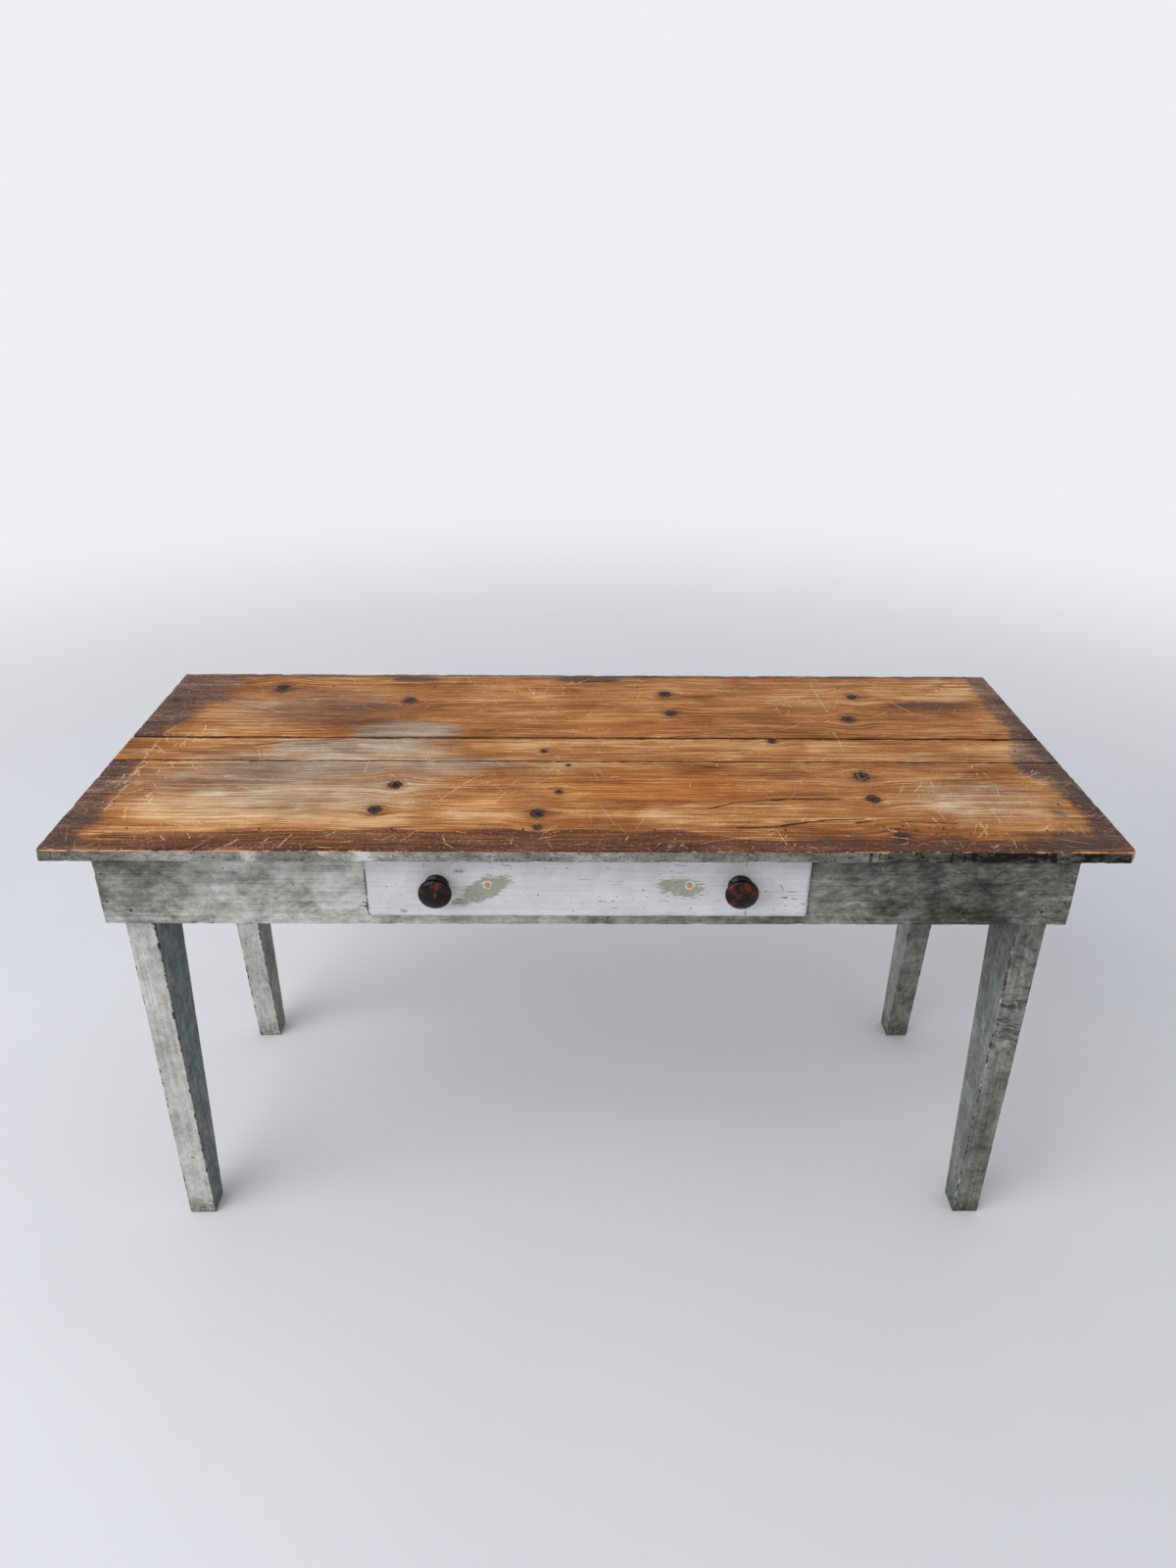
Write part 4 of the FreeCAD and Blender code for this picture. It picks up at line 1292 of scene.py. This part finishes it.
# %% Nail-head tree
nails, given, leave = new_group(
    "nail_heads", {"Places": "Geometry", "Head Radius": "Float", "Head Height": "Float",
                   "Seed": "Int", "Iron": "Material"}, {"Heads": "Geometry"}, "GeometryNodeTree")
head = nails.node("GeometryNodeMeshCone", {
    "Vertices": 14, "Radius Top": given["Head Radius"] * 0.72,
    "Radius Bottom": given["Head Radius"], "Depth": given["Head Height"]})
aim = nails.node("GeometryNodeInputNamedAttribute", {"Name": "aim"}, data_type="FLOAT_VECTOR")
facing = nails.node("FunctionNodeAlignRotationToVector", {"Vector": aim}, axis="Z")
spin = nails.node("FunctionNodeRandomValue", {
    0: (-0.1, -0.1, 0), 1: (0.1, 0.1, 6.28), "Seed": given["Seed"]}, data_type="FLOAT_VECTOR")
tilt = nails.node("FunctionNodeEulerToRotation", {"Euler": spin})
facing = nails.node("FunctionNodeRotateRotation", {"Rotation": facing, "Rotate By": tilt},
                    rotation_space="LOCAL")
size = nails.node("FunctionNodeRandomValue", {2: 0.75, 3: 1.0, "Seed": given["Seed"]}, 1,
                  data_type="FLOAT")
heads = nails.node("GeometryNodeInstanceOnPoints", {
    "Points": given["Places"], "Instance": head, "Rotation": facing, "Scale": size})
heads = nails.node("GeometryNodeRealizeInstances", {"Geometry": heads})
heads = nails.node("GeometryNodeSetMaterial", {"Geometry": heads, "Material": given["Iron"]})
nails.plug(leave, {"Heads": heads})
print("nail_heads:", len(nails.tree.nodes), "nodes")


# %% Nail places, read from the CAD nails
TIP_LENGTH = 0.3 * MM


def islands(work):
    """The separate solids of a mesh, each as a set of its vertices."""
    seen = set()
    for start in work.verts:
        if start in seen:
            continue
        island, fresh = {start}, [start]
        while fresh:
            for edge in fresh.pop().link_edges:
                for vertex in edge.verts:
                    if vertex not in island:
                        island.add(vertex)
                        fresh.append(vertex)
        seen |= island
        yield island


def nail_places(node):
    """The outer end of each nail in a node, and the way that it faces."""
    work = bmesh.new()
    work.from_mesh(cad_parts[node].data)
    bmesh.ops.remove_doubles(work, verts=work.verts, dist=SAME)
    places, aims = [], []
    for island in islands(work):
        nail = np.array([vertex.co for vertex in island])
        axis = int(np.argmax(np.ptp(nail, axis=0)))
        middle = (nail.min(0) + nail.max(0)) / 2
        tips = nail[:, axis].min(), nail[:, axis].max()
        ends = [nail[np.abs(nail[:, axis] - tip) < TIP_LENGTH] for tip in tips]
        wide = [np.ptp(np.delete(points, axis, 1), axis=0).max() for points in ends]
        upper = int(wide[1] >= wide[0])
        middle[axis] = tips[upper]
        direction = np.zeros(3)
        direction[axis] = 2 * upper - 1
        places.append(middle)
        aims.append(direction)
    work.free()
    return np.array(places), np.array(aims)


print("nails in the top:", len(nail_places("top_nails")[0]))

# %% Nail heads
HEAD_HEIGHT, HEAD_SUNK, FIRST_SEED = 1.0 * MM, 0.7 * MM, 11
HEAD_RADII = {"top_nails": 2.6 * MM, "leg_nails": 3.0 * MM, "apron_corner_nails": 2.2 * MM}
sockets = {item.name: item.identifier
           for item in nails.tree.interface.items_tree if item.in_out == "INPUT"}
for seed, (node, radius) in enumerate(HEAD_RADII.items(), FIRST_SEED):
    places, aims = nail_places(node)
    heads = make_piece("forged_" + node, places - aims * HEAD_SUNK, [])
    layer = heads.data.attributes.new("aim", "FLOAT_VECTOR", "POINT")
    layer.data.foreach_set("vector", aims.ravel())
    maker = heads.modifiers.new("nail_heads", "NODES")
    maker.node_group = nails.tree
    values = {"Head Radius": radius, "Head Height": HEAD_HEIGHT, "Seed": seed, "Iron": iron}
    for label, value in values.items():
        maker[sockets[label]] = value
    apply_modifier(heads, maker)
    dress(heads, iron, "table", "iron", node)
    print(heads.name, len(places), "nails,", len(heads.data.polygons), "faces")

# %% [markdown]
# ## Pieces out of sight
# Battens, runners, guides, kickers and the drawer's box are plain pieces whose CAD shapes are
# right, so they stay and only get a finish: bare pine, dusty and browned with age, with the
# grain along each piece. The brads and screws that show get the iron.

# %% Inner pine
def bare_pine(label, turn_grain):
    wires = new_material(label)
    place = wires.place()
    grain = wires.use("pine_grain", Place=wires.turned(place, (0, 0, turn_grain)))
    dust = wires.use("mottle", Place=place, Scale=9.0)
    colour = grain["Tone"].ramp(*BARE_PINE)
    colour = colour.coat(shade(120, 96, 70), dust["Cloud"] * 0.4)
    colour = colour.coat(shade(96, 66, 42), grain["Dashes"] * 0.5)
    rough = 0.62 + grain["Fibres"] * 0.2
    return finish(wires, colour, rough, grain["Fibres"], depth=0.4 * MM)


pine_x = bare_pine("bare_pine_along_table", 0.0)
pine_y = bare_pine("bare_pine_across_table", math.pi / 2)
ALONG = ("drawer_back", "drawer_bottom")
ACROSS = ("top_cleat", "drawer_runner", "drawer_guide", "drawer_kicker", "drawer_side")
BRADS = ("guide_nails", "drawer_nails")
for node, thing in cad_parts.items():
    if node in ALONG:
        chosen = pine_x
    elif node.startswith(ACROSS):
        chosen = pine_y
    elif "screw" in node or node in BRADS:
        chosen = iron
    else:
        continue
    for slot in thing.material_slots:
        slot.material = chosen
    print(node, "gets", chosen.name)

# %% [markdown]
# ## Floor and light
# A plain pale floor carries the table's shadow. Far away it fades into the background, so no
# horizon shows. The light is soft: an even sky, and a large lamp to the left, in front and
# above, which makes the left-hand faces of the legs brighter than the right-hand ones.

# %% Floor
BACKGROUND = shade(238, 239, 243)
FLOOR_HALF = 14.0


def looked_at(wires):
    """1 for what the eye sees, straight or in a reflection, and 0 for what only lights the rest."""
    path = wires.results(wires.tree.nodes.new("ShaderNodeLightPath"))
    return path["Is Camera Ray"] | path["Is Glossy Ray"] | path["Is Transmission Ray"]


wires = new_material("pale_floor")
place = wires.place()
grey = wires.noise(place, 1.5, 4).blend(shade(210, 212, 217), shade(219, 221, 225))
ground = wires.node("ShaderNodeBsdfPrincipled", {"Base Color": grey, "Roughness": 0.9})
haze = wires.node("ShaderNodeEmission", {"Color": BACKGROUND})
far = wires.vector("LENGTH", place, (0, 0, 0), 1).step(1.6, 5.0)
faded = far * looked_at(wires)
wires.show(wires.node("ShaderNodeMixShader", {0: faded, 1: ground, 2: haze}))

corners = FLOOR_HALF * np.array(((-1, -1, 0), (1, -1, 0), (1, 1, 0), (-1, 1, 0)))
floor = make_piece("pale_floor", corners, [(0, 1, 2, 3)])
floor.data.materials.append(wires.material)
print("floor", 2 * FLOOR_HALF, "m wide")

# %% Light
world = bpy.data.worlds.new("soft_sky")
bpy.context.scene.world = world
world.use_nodes = True
world.node_tree.nodes.clear()
sky = Wiring(world.node_tree)
even = sky.node("ShaderNodeBackground", {"Color": (0.68, 0.69, 0.71, 1), "Strength": 1.0})
shown = sky.node("ShaderNodeBackground", {"Color": BACKGROUND, "Strength": 1.0})
sky.show(sky.node("ShaderNodeMixShader", {0: looked_at(sky), 1: even, 2: shown}), "World")

LAMP_PLACE, LAMP_AIM = Vector((-2.6, -2.2, 3.2)), Vector((0, 0, 0.5))
LAMP_SIZE, LAMP_POWER = 4.2, 120
light = bpy.data.lights.new("key_left", "AREA")
light.shape = "DISK"
light.size = LAMP_SIZE
light.energy = LAMP_POWER
lamp = bpy.data.objects.new("key_left", light)
lamp.location = LAMP_PLACE
lamp.rotation_euler = (LAMP_AIM - LAMP_PLACE).to_track_quat("-Z", "Y").to_euler()
bpy.context.scene.collection.objects.link(lamp)
bpy.context.scene.view_settings.view_transform = "Standard"
print("sky and lamp ready")
